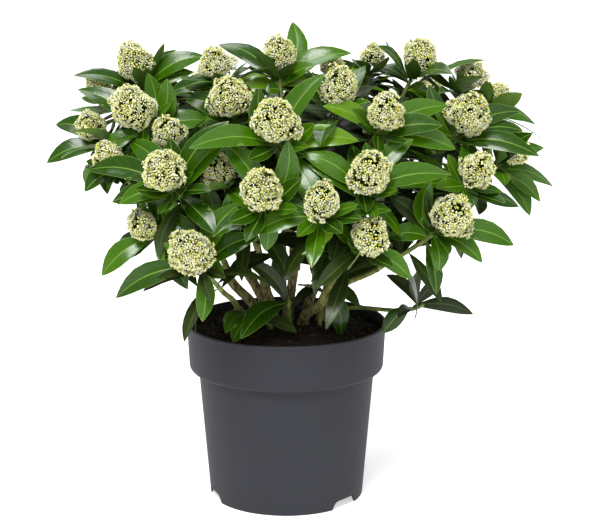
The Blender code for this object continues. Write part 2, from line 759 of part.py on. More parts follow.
def grow_leaves(shoots, room, rng):
    """Deals the marked leaves, then one leaf to every shoot in turn, so that none is crowded out."""
    leaves = {shoot.mass: [] for shoot in shoots}
    for shoot in shoots:
        for order in range(len(shoot.marked)):
            for trial in range(ROOTS_TRIED * len(SHIFTS_TRIED)):
                leaf = marked_leaf(shoot, order, trial)
                if fits(leaf, shoot.mass, room):
                    leaves[shoot.mass].append(leaf)
                    room.add(shoot.mass, leaf.solid())
                    break
    for order in range(WHORL_LEAVES + LOWER_LEAVES):
        for shoot in shoots:
            if not len(shoot.marked) <= order < shoot.leaf_count:
                continue
            draws = [rng.uniform(-1, 1) for _ in range(6)]
            for trial in range(len(TURNS_TRIED)):
                leaf = whorl_leaf(shoot, order, trial, draws)
                if not hides_sky(leaf) and fits(leaf, shoot.mass, room):
                    leaves[shoot.mass].append(leaf)
                    room.add(shoot.mass, leaf.solid())
                    break
    return leaves


def cut_notches(pot):
    """Cuts the gaps between the pot's feet, each narrower at its top than at the ground."""
    reach_in, reach_out = FOOT_RADIUS - 4 * WALL, FOOT_RADIUS + 4 * WALL
    for number in range(NOTCH_COUNT):
        bearing = NOTCH_BEARING + number * 360 / NOTCH_COUNT
        corners = []
        for height, share in ((-2 * MM, 1.05), (NOTCH_HEIGHT, NOTCH_TOP_SHARE)):
            for radius in (reach_in, reach_out):
                for side in (-1, 1):
                    turn = math.radians(bearing + side * NOTCH_HALF_ANGLE * share)
                    corners.append(
                        (radius * math.sin(turn), -radius * math.cos(turn), height)
                    )
        faces = [(0, 1, 3, 2), (4, 6, 7, 5), (0, 4, 5, 1), (2, 3, 7, 6), (0, 2, 6, 4), (1, 5, 7, 3)]
        cutter = bpy.data.objects.new(f"notch_{number}", mesh_from("notch", corners, faces))
        bpy.context.scene.collection.objects.link(cutter)
        cutter.hide_render = True
        cutter.display_type = "WIRE"
        cut = pot.modifiers.new(f"notch_{number}", "BOOLEAN")
        cut.operation, cut.solver, cut.object = "DIFFERENCE", "EXACT", cutter


def largest_piece(mesh):
    """Drops any loose scrap, keeps the piece with the most corners, and merges its flat faces."""
    shape = bmesh.new()
    shape.from_mesh(mesh)
    left, best = set(shape.verts), []
    while left:
        seed = left.pop()
        piece, queue = [seed], [seed]
        while queue:
            for edge in queue.pop().link_edges:
                for corner in edge.verts:
                    if corner in left:
                        left.discard(corner)
                        piece.append(corner)
                        queue.append(corner)
        best = max(best, piece, key=len)
    keep = set(best)
    bmesh.ops.delete(shape, geom=[v for v in shape.verts if v not in keep], context="VERTS")
    merge_flat_faces(shape, 2.0)
    shape.to_mesh(mesh)
    shape.free()


def fused(name, shapes, finish):
    """One solid from overlapping closed shapes, joined by a Boolean union."""
    things = [
        bpy.data.objects.new(f"{name}_{i}", mesh_from(name, *shape)) for i, shape in enumerate(shapes)
    ]
    trunk, others = things[0], bpy.data.collections.new(f"{name}_parts")
    bpy.context.scene.collection.objects.link(trunk)
    bpy.context.scene.collection.children.link(others)
    for thing in things[1:]:
        others.objects.link(thing)
    if len(things) > 1:
        join = trunk.modifiers.new("join", "BOOLEAN")
        join.operation, join.solver = "UNION", "MANIFOLD"
        join.operand_type, join.collection = "COLLECTION", others
    bpy.context.view_layer.update()
    evaluated = trunk.evaluated_get(bpy.context.evaluated_depsgraph_get())
    mesh = bpy.data.meshes.new_from_object(evaluated)
    mesh.name = name
    for thing in things:
        bpy.data.objects.remove(thing, do_unlink=True)
    bpy.data.collections.remove(others)
    largest_piece(mesh)
    return add_object(name, mesh, finish, smooth=False)


def build():
    clear_scene()
    rng = random.Random(SEED)
    plastic = material("pot_grey", (0.058, 0.061, 0.070), 0.45)
    soil = material("compost_brown", (0.018, 0.012, 0.009), 0.95)
    bark = material("bark", (0.16, 0.13, 0.055), 0.8)
    green = material("leaf_green", (0.045, 0.16, 0.02), 0.4)

    room = Room()
    for name, profile, finish in (
        ("pot", pot_profile(), plastic),
        ("compost", soil_profile(), soil),
    ):
        shape = turned(profile, POT_SIDES)
        mesh = bpy.data.meshes.new(name)
        shape.to_mesh(mesh)
        room.add(name, skin_of(shape))
        shape.free()
        thing = add_object(name, mesh, finish)
        if name == "pot":
            cut_notches(thing)

    plan = head_plan(rng)
    limbs, shoots = grow_limbs(plan, room, rng)
    shoots += grow_sprigs(room, rng)
    leaves = grow_leaves(shoots, room, rng)

    for node, (points, radii, sides, ends) in limbs.items():
        add_object(node, mesh_from(node, *tube(points, radii, sides, *ends)), bark)
    for mass in dict.fromkeys(shoot.mass for shoot in shoots):
        own = [shoot for shoot in shoots if shoot.mass == mass]
        shapes = [tube(s.points, s.radii, SHOOT_SIDES, s.start, s.axis) for s in own]
        shapes += [s.head.solid() for s in own if s.head]
        shapes += [leaf.solid() for leaf in leaves[mass]]
        fused(mass, shapes, green)


build()
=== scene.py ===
"""The looks of a potted skimmia in flower: satin grey pot, crumbly compost, ridged stems, glossy
leaves with pale midribs, and round heads of cream flowers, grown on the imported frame's limbs.

Metres, +Z up. The origin is the middle of the pot's underside, and -Y faces the viewer.
"""

import math
import random

import bmesh
import bpy
import numpy as np
from mathutils import Matrix, Vector, noise
from mathutils.bvhtree import BVHTree


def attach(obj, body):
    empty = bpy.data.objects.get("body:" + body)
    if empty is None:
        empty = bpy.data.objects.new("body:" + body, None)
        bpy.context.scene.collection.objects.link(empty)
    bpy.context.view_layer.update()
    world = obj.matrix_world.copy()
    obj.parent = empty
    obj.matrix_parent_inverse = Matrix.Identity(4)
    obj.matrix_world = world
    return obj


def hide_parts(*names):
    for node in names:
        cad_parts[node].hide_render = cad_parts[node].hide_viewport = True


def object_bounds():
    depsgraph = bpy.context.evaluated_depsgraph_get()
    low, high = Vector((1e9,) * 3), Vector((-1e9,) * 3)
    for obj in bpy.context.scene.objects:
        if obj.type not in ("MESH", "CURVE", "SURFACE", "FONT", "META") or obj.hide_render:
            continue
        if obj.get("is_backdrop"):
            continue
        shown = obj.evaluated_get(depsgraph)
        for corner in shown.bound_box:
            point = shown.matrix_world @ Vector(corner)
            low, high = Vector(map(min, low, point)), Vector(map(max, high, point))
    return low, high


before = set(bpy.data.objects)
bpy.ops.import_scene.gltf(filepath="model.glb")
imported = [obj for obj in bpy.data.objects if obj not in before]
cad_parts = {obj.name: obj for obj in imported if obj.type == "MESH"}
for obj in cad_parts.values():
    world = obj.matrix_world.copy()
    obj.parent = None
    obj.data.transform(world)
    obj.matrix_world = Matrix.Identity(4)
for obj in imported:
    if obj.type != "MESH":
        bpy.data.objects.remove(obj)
CAD_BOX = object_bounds()

MM = 0.001
UP = Vector((0.0, 0.0, 1.0))
VIEWER = Vector((0.0, -1.0, 0.0))
GAP = 0.3 * MM
CLEARANCE = 0.5 * MM
SEED = 7

# The nursery pot
POT_HEIGHT = 205.0 * MM
RIM_RADIUS = 115.0 * MM
FOOT_RADIUS = 88.6 * MM
WALL = 1.8 * MM
LIP_WIDTH = 2.6 * MM
LIP_HEIGHT = 4.0 * MM
EDGE_ROUND = 0.8 * MM
FLOOR_UNDERSIDE = 10.5 * MM
FLOOR_TOP = 12.5 * MM
BOSS_RADIUS = 26.0 * MM
SHOULDER_HEIGHT = 150.0 * MM
SHOULDER_RADIUS = 101.2 * MM
COLLAR_HEIGHT = 157.5 * MM
COLLAR_RADIUS = 112.1 * MM
POT_SIDES = 36
NOTCH_HEIGHT = 10.0 * MM
NOTCH_COUNT = 3
NOTCH_BEARING = 49.5
NOTCH_HALF_ANGLE = 13.5
# A notch's width as a share of its middle's, at its foot and at its top
NOTCH_FOOT_SHARE, NOTCH_TOP_SHARE = 1.05, 0.72
# The radius of each round corner, by its number in the fine pot's profile
POT_FILLETS = {
    5: 0.6 * MM, 6: 2.0 * MM, 7: 5.5 * MM, 8: 0.3 * MM, 9: 0.4 * MM, 10: 1.1 * MM,
    11: 1.1 * MM, 12: 2.0 * MM, 13: 1.5 * MM, 14: 1.5 * MM, 15: 3.0 * MM,
}
FINE_POT_SIDES = 160

# The compost
SOIL_GAP = 0.4 * MM
SOIL_EDGE = 192.0 * MM
SOIL_TOP = 205.5 * MM
SOIL_TOP_RADIUS = 58.0 * MM
SOIL_SHELF = 14.0 * MM
SOIL_RINGS, FINE_SOIL_SIDES = 60, 150
CRUMBS, CRUMB_MARGIN = 1700, 4.0 * MM
CHIP_SHARE, CHIP_STRETCH = 0.10, Vector((2.6, 0.8, 0.5))

# The rounded outline that the flower heads sit on
DOME_RADIUS_X = 248.0 * MM
DOME_RADIUS_Y = 200.0 * MM
DOME_RADIUS_Z = 185.0 * MM
DOME_CENTRE_Z = 330.0 * MM
DOME_POWER = 2.5
EYE = Vector((16.0 * MM, -2000.0 * MM, 730.0 * MM))

# The camera, with its lens and sensor in millimetres, and the light
CAMERA_PLACE = Vector((15.7 * MM, -2.0, 0.730))
CAMERA_AIM = Vector((15.7 * MM, 0.0, 0.272))
LENS, SENSOR = 107.8, 36.0
LAMP_AIM = Vector((0.0, 0.0, 0.3))
FLOOR_GLOW, ROOM_LIGHT = 0.55, 0.46

# Stems, boughs and shoots
HEART = Vector((0.0, 0.0, 225.0 * MM))
FORK_SHARE = 0.30
BOUGH_SHARE = 0.50
STEM_RADIUS = 5.6 * MM
STEM_TIP_RADIUS = 4.6 * MM
BOUGH_RADIUS = 3.3 * MM
BOUGH_TIP_RADIUS = 2.7 * MM
SHOOT_RADIUS = 3.2 * MM
SHOOT_TIP_RADIUS = 2.6 * MM
FLARE = 1.4
STEM_SIDES, BOUGH_SIDES, SHOOT_SIDES = 7, 5, 3
STEM_STEPS, BOUGH_STEPS, SHOOT_STEPS = 4, 3, 3

# Leaves and flower heads
NECK = 1.0 * MM
WHORL_LEAVES = 7
LOWER_LEAVES = 1
SPRIG_LEAVES = 6
SMALL_HEAD = 37.0
# A head's skin as shares of its radius: its plain reach, the hip round its lower half, the peak
# at its tip and its lobes, which tilt from its axis by so much in radians
PLAIN_REACH = 0.88
HIP_LEAN, HIP_WIDTH, HIP_SIZE = -0.25, 0.45, 0.08
PEAK_SIZE, PEAK_SHARPNESS = (0.08, 0.22), 4
LOBES, LOBE_TILT, LOBE_SIZE, LOBE_SHARPNESS = 3, (0.9, 1.7), (0.03, 0.17), 6
LEAF_LENGTH = 74.0 * MM
CREST_HEIGHT = 470.0 * MM
CREST_LEAF_SHARE = 0.88
LEAF_WIDTH_SHARE = 0.36
PETIOLE = 0.9 * MM
GOLDEN_ANGLE = math.radians(137.508)
FIRST_LEAF_DROP, LEAF_STEP = 4.0 * MM, 2.5 * MM
LOW_LEAF_DROP, LOW_LEAF_STEP = 28.0 * MM, 9.0 * MM
LEAF_SPREAD = 66.0
LEAF_BEND = 30.0
# How much the spread, length, width and bend vary either way, and the turn round the shoot, and
# how much wider each trial spreads a leaf and how much shorter it makes it
LEAF_VARIES = (13.0, 0.15, 0.10, 22.0)
TURN_VARIES = 8.0
LOW_EXTRA_SPREAD = 10.0
LEAF_TRIAL = (2.5, 0.035)
# A marked leaf droops, or is cupped round its head where it stands upright in the picture. It is
# as wide as a leaf whose length lies between these two.
MARKED_BEND, CUPPED_BEND = 34.0, -40.0
UPRIGHT = 0.9
SHORT_MARKED, LONG_MARKED = 60.0 * MM, 74.0 * MM
# The plain blade's sections past its foot: where along it, its width's share and its keel; and
# the steps that its midrib bends in
BLADE_SECTIONS = ((0.37, 0.93, 1.0 * MM), (0.71, 0.86, 0.8 * MM))
BEND_STEPS = 8
# A leaf may overlap its own mass over this share of its length from the root
FUSED_SHARE = 0.16
# What is tried until a leaf fits: turns in degrees, and for marked leaves roots further down and
# tips nearer and further, in millimetres
TURNS_TRIED = (0, 14, -14, 27, -27, 8, -8, 40, -40)
SHIFTS_TRIED = (0, 12, -12, 24, -24, 36, -36, 48, -48)
ROOTS_TRIED, ROOT_STEP, LESS_EACH_ROOT = 4, 4.0 * MM, 0.28
MARKED_TRIALS = ROOTS_TRIED * len(SHIFTS_TRIED)
ORDERS_IN_STEP = 6
# A limb's middle is swung aside further with each trial, in millimetres
LIMB_TRIALS = 24
FIRST_SWING, SWING_STEP = 4.0, 1.6
LIMB_CLEARANCE = 1.2 * CLEARANCE
# How much the tips of heads, stems and leafy shoots turn up, and how far under the heads a bough
# aims
HEAD_LIFT, STEM_LIFT, LEAFY_LIFT = 0.3, 0.6, 0.5
BELOW_HEADS = 12.0 * MM
# A shoot ends this share of its head's radius inside it
TIP_IN_HEAD = 0.3

# Each stem: its foot on the compost, across and back, then the boughs that fork from it, and on
# each bough its shoots: where the head shows on the upright plane through the pot's axis, across
# and up, then how far it is set in behind the dome, and its width, all in millimetres.
STEMS = {
    "left": ((-30, -8), {
        "left_high": [(-169, 501, -25, 46), (-173, 451, 0, 49), (-209, 474, 8, 34)],
        "left_side": [(-218, 429, 15, 36), (-200, 396, 18, 32), (-164, 316, 35, 35)],
        "left_front": [(-133, 422, 40, 37), (-139, 378, 0, 48)],
    }),
    "low_left": ((-38, -30), {"low_left": [(-111, 284, 0, 49)]}),
    "mid_left": ((-14, -22), {
        "top_left": [(-78, 500, 0, 38), (-62, 461, 24, 48)],
        "front_left": [(-77, 380, 44, 38), (-27, 357, 0, 48)],
    }),
    "centre": ((2, -6), {
        "top_centre": [(-7, 510, 0, 42), (-11, 435, 0, 50)],
        "top_right": [(60, 473, 5, 42), (51, 497, 60, 30), (111, 444, 0, 43)],
    }),
    "right": ((40, -6), {
        "right_crest": [(149, 507, 0, 45), (96, 508, 40, 32)],
        "right_high": [(206, 488, 25, 38), (203, 441, 0, 50), (236, 464, 40, 34)],
        "right_side": [(255, 402, 10, 40), (216, 379, 0, 42)],
    }),
    "front_right": ((19, -25), {
        "front_right": [(95, 377, 0, 48), (41, 345, 0, 41)],
        "low_front": [(95, 304, 10, 43)],
        "low_right": [(188, 326, 0, 48)],
    }),
}
# The stems that the flowering front hides: foot, and the bearing of each bough from the right in
# degrees, the same to either side, then the turn from that bearing, height and width of its heads,
# which the skew moves the other way on the other side. A width of 0 is a shoot with no flowers.
REAR_STEMS = {"rear_right": (24, 26), "rear_left": (-24, 27)}
REAR_BOUGHS = {
    "side": (36, [(-4, 455, 42), (16, 415, 46), (14, 340, 42), (-6, 385, 0)]),
    "back": (74, [(-12, 462, 42), (6, 425, 46), (-8, 385, 44), (8, 338, 42)]),
}
REAR_SKEW_BEARING, REAR_SKEW_UP = 4, 5
LEAFY_INSET = 0.12
# Leafy shoots near the compost: foot across and back, then tip across, back and up
SPRIGS = {
    "sprig_left": ((-17, -46), (-37, -62, 231)),
    "sprig_centre": ((4, -42), (3, -58, 243)),
    "sprig_middle": ((38, -34), (46, -40, 262)),
    "sprig_right": ((54, -8), (154, -34, 232)),
}
# The leaves that stand out against the sky: for a bough, the shoot's number, then where the tip
# shows, across and up, and how far it lies behind the shoot's neck if not beside it
MARKED_LEAVES = {
    "top_centre": [(0, 8, 552), (0, -74, 525), (0, 72, 513), (1, 44, 490)],
    "top_left": [(0, -113, 475, -20), (0, -64, 493, -20)],
    "left_high": [(0, -122, 516, 10), (0, -92, 510), (0, -235, 492), (1, -233, 473, -10),
                  (1, -214, 392, -12)],
    "left_side": [(0, -259, 434, 10), (0, -242, 425, -30), (0, -270, 390), (1, -228, 356, -10),
                  (2, -211, 258, -20)],
    "left_front": [(1, -224, 382)],
    "low_left": [(0, -196, 233, 10), (0, -97, 204, -20), (0, -142, 335, 20), (0, -35, 304)],
    "right_crest": [(0, 221, 508), (0, 107, 521), (0, 104, 497, -25), (0, 182, 492, -20)],
    "right_high": [(0, 220, 487, -25), (0, 191, 478, -20), (2, 282, 436), (1, 266, 429, -30),
                   (1, 264, 450, -10), (1, 285, 398)],
    "right_side": [(0, 275, 421, -20), (0, 291, 408, 10), (0, 304, 363, 10), (0, 288, 345, -15),
                   (0, 277, 328, -10)],
    "low_right": [(0, 260, 294, -5), (0, 224, 273), (0, 174, 262, -10)],
    "sprig_left": [(0, -69, 192, -25), (0, -61, 180, -30)],
    "sprig_centre": [(0, -52, 184, -32), (0, -1, 296)],
    "sprig_middle": [(0, 63, 186, -48), (0, 84, 223, -20), (0, 36, 290), (0, 67, 305)],
    "sprig_right": [(0, 154, 267), (0, 115, 259), (0, 177, 249, 5), (0, 215, 213),
                    (0, 112, 190, -10)],
}
# More leaves that show in the front of the crown, in the same terms, with a tint if not mid
CLOSER_LEAVES = {
    "left_high": [(0, -104, 492), (1, -154, 491), (1, -134, 485), (1, -82, 436),
                  (1, -120, 456, 0, "deep"), (0, -108, 470)],
    "left_front": [(1, -176, 414), (1, -66, 435, 0, "deep"), (1, -72, 409),
                   (1, -184, 397, 0, "deep"), (1, -197, 344, 0, "deep"), (1, -189, 342)],
    "left_side": [(2, -195, 286, 0, "dull")],
    "low_left": [(0, -97, 373, 38), (0, -68, 353, 0, "deep"), (0, -52, 343),
                 (0, -72, 261, -10, "deep")],
    "front_left": [(1, -72, 414), (1, 2, 415), (1, -23, 287), (1, 19, 346, 0, "deep")],
    "top_left": [(0, -130, 468, 0, "deep"), (0, -100, 455), (1, -95, 436), (1, -60, 422),
                 (1, -112, 462, 0, "deep"), (0, -38, 470, 0, "deep")],
    "top_centre": [(0, 25, 481, 0, "bright"), (0, 33, 499), (0, -57, 477, 0, "bright"),
                   (0, -7, 481), (0, -34, 458), (1, -108, 406), (0, -42, 498, 0, "dull"),
                   (0, 60, 470), (0, 32, 466, 10, "deep"), (0, -22, 470, -10),
                   (1, -30, 474, 15, "deep"), (1, 24, 472, 15, "dull"), (1, 81, 414, 0, "bright"),
                   (1, 19, 430, 0, "bright")],
    "top_right": [(0, 82, 448, 0, "deep"), (1, 86, 491, 0, "bright"), (2, 42, 453, 0, "bright"),
                  (2, 90, 430, -10, "bright"), (2, 121, 432, -10, "bright"), (2, 181, 454),
                  (2, 191, 404), (2, 176, 431, 0, "deep")],
    "right_crest": [(0, 155, 455, 0, "bright"), (0, 160, 466, 0, "bright")],
    "right_high": [(1, 142, 415), (1, 157, 401)],
    "right_side": [(1, 208, 335)],
    "low_right": [(0, 164, 368), (0, 117, 304), (0, 117, 351, 0, "dull")],
    "front_right": [(0, 21, 399), (0, 90, 413), (0, 142, 417), (0, 184, 376), (0, 28, 386),
                    (0, 78, 316, 0, "deep"), (1, 0, 397), (1, -37, 307),
                    (1, 41, 294, 0, "bright")],
    "low_front": [(0, 143, 254)],
    "sprig_centre": [(0, -49, 278, 0, "dull")],
    "sprig_middle": [(0, 112, 272, 0, "dull")],
}
# Where the sky shows beside and under the crown: the middle of each patch, across and up, and
# half its width and height
SKY = [
    (163, 186, 14, 16), (-126, 222, 14, 28), (250, 324, 16, 9), (200, 236, 17, 22),
    (-188, 328, 20, 14), (140, 328, 16, 11), (-70, 270, 14, 10), (75, 262, 12, 12),
    (-235, 318, 46, 44), (-176, 266, 20, 9), (-158, 222, 34, 20), (-133, 237, 16, 20),
    (-66, 240, 15, 17), (100, 245, 24, 30), (146, 283, 14, 16), (138, 168, 26, 30),
    (192, 526, 26, 14), (230, 255, 34, 28), (238, 300, 16, 20), (-290, 420, 22, 90),
    (320, 380, 18, 70),
]

# Joined pieces: the part of the plant that each stem's foliage is joined into
PARTS = {
    "left": "left", "low_left": "left", "mid_left": "middle", "centre": "middle",
    "right": "right", "front_right": "right", "rear_right": "rear", "rear_left": "rear",
}
LOW_PART = "low"

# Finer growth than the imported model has
FINE_SEED = 23
EXTRA_LEAVES = 4
COLLAR_LEAVES = 7
COLLAR_DROP, COLLAR_STEP = 1.0 * MM, 0.9 * MM
COLLAR_SHARE, COLLAR_SPREAD, COLLAR_BEND = 0.66, 72.0, -30.0
COLLAR_VARIES, COLLAR_TRIAL = (10.0, 0.14, 0.03, 22.0), (2.0, 0.04)
COLLAR_EXTRA_WIDTH, COLLAR_BEND_STEP = 0.03, 3.0
# Where collar and inner leaves start between the whorl's places round the shoot
COLLAR_PLACE, INNER_PLACE = 0.4, 0.7
COLLAR_ORDER = 5
# How near a finer leaf may come to its neighbours, and the share that may overlap its own mass
FINE_EASE = (0.1 * MM, 0.34)
FINE_STEP = 2.4 * MM
FINE_SIDES = {"stem": 22, "bough": 14, "shoot": 9}
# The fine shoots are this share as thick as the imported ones
SLIM = 0.86
FLARE_HEIGHT = 5.0 * MM
# Where a limb's round tip has its rings, as shares of its radius
TIP_RINGS = (0.5, 0.85, 0.98)
# The bark's ridges round a limb and their depth, and the leaf scars' step along it and height,
# both heights as shares of its radius
STEM_RELIEF = (7.0, 0.16, 11.0 * MM, 0.10)
BOUGH_RELIEF = (4.0, 0.09, 9.0 * MM, 0.14)
SHOOT_RELIEF = (3.0, 0.05, 8.0 * MM, 0.12)
SCAR_WIDTH = 0.9 * MM
# How far a limb starts inside what carries it
SUNK, SHOOT_SUNK, SPRIG_SUNK = 9.0 * MM, 7.0 * MM, 4.0 * MM
# Old leaves lower on the shoots, which lean to the middle of the crown and close it from above
INNER_SEED = 31
INNER_LEAVES, INNER_ORDER = 9, 50
INNER_DROP, INNER_STEP = 20.0 * MM, 7.0 * MM
INNER_SHARE, INNER_SPREAD, INNER_PULL = 0.95, 62.0, 1.1
INNER_VARIES, INNER_TRIAL = (14.0, 0.15, 0.02, 18.0), (2.0, 0.03)
CROWN_MIDDLE = Vector((0.0, 45.0 * MM, 400.0 * MM))
# Leafy twigs on the rear boughs, which close the crown from above: the tips of each bough's
TWIGS = {
    "rear_left_back": [(-34, 78, 425), (-70, 50, 438)],
    "rear_left_side": [(-118, 50, 430)],
    "rear_right_back": [(26, 88, 425), (0, 45, 440)],
    "rear_right_side": [(98, 84, 418)],
}
TWIG_EXTRA_LEAVES = 4

# A leaf's outline, cross-section and lines
LEAF_ROWS = (0.0, 0.05, 0.14, 0.26, 0.40, 0.54, 0.68, 0.80, 0.90, 0.965)
LEAF_RISE, LEAF_FALL = 1.2, 0.95
LEAF_THICK = 0.45 * MM
MARGIN_WIDTH = 0.30 * MM
ARCH, UPRIGHT_ARCH = 0.085, 0.13
BLADE_SHARE, SLIM_SHARE = 0.95, 0.68
# The leaves of these sprigs whose tips are above a height, up under the crown, are narrow and take
# # the dark, dull tint as painted shade, as do the crown's lowest leaves over the stems
DARK_SPRIGS = {
    "foliage_sprig_centre": 219.0 * MM,
    "foliage_sprig_middle": 219.0 * MM,
    "foliage_sprig_right": 205.0 * MM,
}
SHADE_HEIGHT, SHADE_HALF_WIDTH = 315.0 * MM, 120.0 * MM
RIB_HALF_WIDTH = 0.42 * MM
RIB_SUNK = 0.25 * MM
# How leaves differ: the fold along the midrib, the curl of the edges, the twist in degrees, the
# bow to a side, the tip that hooks down past a share of the length, and the wave of the edges
FOLD, CURL = (0.16, 0.50), (0.0, 0.35)
TWIST, BOW = (-20.0, 20.0), (-0.02, 0.02)
HOOK, HOOK_FROM = (0.0, 0.09), 0.6
WAVE, WAVES = (0.01, 0.05), 2.2
# A shoot's own leaves are alike in tint: how far all its draws are shifted
SHOOT_TINT = (-0.25, 0.25)

# Flowers: one for each patch of a head's skin, in bunches that stand out between creases
FLOWER_PATCH = 15.0 * MM * MM
BUNCH_PATCH = 130.0 * MM * MM
BUNCH_RADIUS = 6.4 * MM
BUNCH_RISE = 2.2 * MM
FLOWER_SUNK = 3.0 * MM
HEAD_SKIRT = -0.80
# How far out the heart of a head reaches, as a share of its skin: a near-black ball of painted
# shade under the flowers
CORE_SHARE = 0.66
# How much the bunches stand out, and the flowers in and out of their bunch in millimetres, lean
# aside, and differ in size
BUNCH_RISES, FLOWER_LIFTS, FLOWER_LEAN, FLOWER_SIZES = (0.25, 1.0), (-1.3, 1.3), 0.45, (0.82, 1.12)
# How uneven the spacing of the bunches and of the flowers is
BUNCH_JITTER, FLOWER_JITTER = 0.12, 0.08
# A head's tip turns up to the light, bunches trail from its lower edge, and it is lumpy
HEAD_BASE, TIP_RISE, TIP_SIZE = 0.90, 0.9, 0.17
TRAILS, TRAIL_LEAN, TRAIL_SIZE, TRAIL_SHARPNESS = 3, (-0.55, 0.10), (0.10, 0.42), 12
LUMP_SIZE, CORE_LUMP_SIZE = 0.20, 0.10


def srgb(red, green, blue):
    """A colour as a screen names it, as the linear values that a shader takes."""
    def linear(level):
        level /= 255
        return level / 12.92 if level <= 0.04045 else ((level + 0.055) / 1.055) ** 2.4

    return (linear(red), linear(green), linear(blue), 1.0)


class Wire:
    """An output of a finish's nodes, on which sums are written as on a number."""

    def __init__(self, finish, socket):
        self.finish, self.socket = finish, socket

    def __add__(self, other):
        return self.finish.maths("ADD", self, other)

    def __sub__(self, other):
        return self.finish.maths("SUBTRACT", self, other)

    def __rsub__(self, other):
        return self.finish.maths("SUBTRACT", other, self)

    def __mul__(self, other):
        return self.finish.maths("MULTIPLY", self, other)

    def __pow__(self, other):
        return self.finish.maths("POWER", self, other)

    def __abs__(self):
        return self.finish.maths("ABSOLUTE", self)

    __radd__ = __add__
    __rmul__ = __mul__


class Finish:
    """A material whose look is worked out by nodes."""

    def __init__(self, name, gloss=0.5):
        self.material = bpy.data.materials.new(name)
        self.material.use_nodes = True
        self.tree = self.material.node_tree
        self.shader = self.tree.nodes["Principled BSDF"]
        self.shader.inputs["Specular IOR Level"].default_value = gloss

    def node(self, kind, settings=None, values=None, out=0):
        made = self.tree.nodes.new("ShaderNode" + kind)
        for key, value in (settings or {}).items():
            setattr(made, key, value)
        for key, value in (values or {}).items():
            self.feed(made.inputs[key], value)
        return Wire(self, made.outputs[out])

    def feed(self, socket, value):
        if isinstance(value, Wire):
            self.tree.links.new(value.socket, socket)
        else:
            socket.default_value = value

    def maths(self, operation, *values):
        return self.node("Math", {"operation": operation}, dict(enumerate(values)))

    def blend(self, share, first, second):
        """A colour that goes from first to second as share goes from 0 to 1."""
        return self.node("Mix", {"data_type": "RGBA"}, {0: share, 6: first, 7: second}, 2)

    def step(self, value, low, high):
        """0 where value is under low, 1 where it is over high, smooth between."""
        return self.node(
            "MapRange", {"interpolation_type": "SMOOTHSTEP"}, {0: value, 1: low, 2: high}
        )

    def place(self):
        return self.node("TexCoord", out="Object")

    def grain(self, scale, detail=3.0, rough=0.5, place=None):
        """Cloudy noise from 0 to 1 that repeats about scale times a metre."""
        values = {"Vector": place or self.place(), "Scale": scale, "Detail": detail}
        return self.node("TexNoise", None, {**values, "Roughness": rough}, "Fac")

    def wear(self, colour, rough=None, height=None, strength=0.3, distance=0.5 * MM):
        """Feeds the shader: colour, roughness, and the height that lifts its surface."""
        self.feed(self.shader.inputs["Base Color"], colour)
        if rough is not None:
            self.feed(self.shader.inputs["Roughness"], rough)
        if height is not None:
            values = {"Height": height, "Strength": strength, "Distance": distance}
            self.feed(self.shader.inputs["Normal"], self.node("Bump", None, values, "Normal"))
        return self.material


def pot_plastic():
    """Moulded grey plastic: satin, faintly mottled, with dust that dulls it."""
    made = Finish("pot_plastic", gloss=0.22)
    cloud = made.grain(14.0, 4.0)
    dust = made.step(made.grain(90.0, 6.0, 0.7), 0.55, 0.8)
    colour = made.blend(cloud, srgb(40, 41, 46), srgb(47, 48, 54))
    colour = made.blend(dust * 0.08, colour, srgb(112, 110, 104))
    skin = made.grain(1800.0, 2.0)
    return made.wear(colour, 0.58 + 0.10 * cloud + 0.12 * dust, skin, 0.12, 0.15 * MM)


def mottled(name, gloss, grain, dark, light, rough, relief=(), edges=()):
    """A finish whose colour, roughness and relief follow one cloudy noise, the colour between
    two edges of it if they are given."""
    made = Finish(name, gloss)
    cloud = made.grain(*grain)
    share = made.step(cloud, *edges) if edges else cloud
    colour = made.blend(share, srgb(*dark), srgb(*light))
    return made.wear(colour, rough[0] + rough[1] * cloud, cloud if relief else None, *relief)


def crumb_finish(name, dark, light):
    return mottled(name, 0.2, (700.0, 4.0), dark, light, (0.80, 0.15), (0.6, 0.4 * MM))


def bark(name, furrow, ridge, streak_scale, lift):
    """Bark whose cracks run along the limbs, which stand up more than they lie."""
    made = Finish(name, gloss=0.25)
    stretched = made.node("Mapping", None, {"Vector": made.place(), "Scale": (1.0, 1.0, 0.28)})
    streaks = made.grain(streak_scale, 6.0, 0.65, stretched)
    patches = made.grain(60.0, 3.0)
    crack = made.step(streaks, 0.38, 0.60)
    colour = made.blend(crack, furrow, ridge)
    grey = srgb(128, 122, 100)
    colour = made.blend(made.step(patches, 0.55, 0.75) * 0.35, colour, grey)
    return made.wear(colour, 0.68 + 0.2 * patches, streaks, lift, 0.6 * MM)


def shoot_green():
    made = Finish("shoot_green", gloss=0.4)
    cloud = made.grain(120.0, 4.0)
    colour = made.blend(made.step(cloud, 0.3, 0.7), srgb(74, 92, 34), srgb(118, 132, 62))
    return made.wear(colour, 0.45 + 0.15 * cloud, made.grain(900.0), 0.2, 0.3 * MM)


def blade_veins(made, sharpness):
    """How far across and along a blade a point lies, the blade's own tint, and side veins that
    sweep forward from the midrib."""
    blade = made.node("Attribute", {"attribute_name": "blade"}, out="Vector")
    split = made.node("SeparateXYZ", None, {0: blade})
    along = Wire(made, split.socket.node.outputs[1])
    tint = Wire(made, split.socket.node.outputs[2])
    side = abs(split)
    phase = (along * 9.0 - side * 1.5) * (2 * math.pi)
    veins = (made.maths("SINE", phase) * 0.5 + 0.5) ** sharpness
    return side, tint, veins * made.step(side, 0.05, 0.3) * made.step(1.0 - side, 0.0, 0.35)


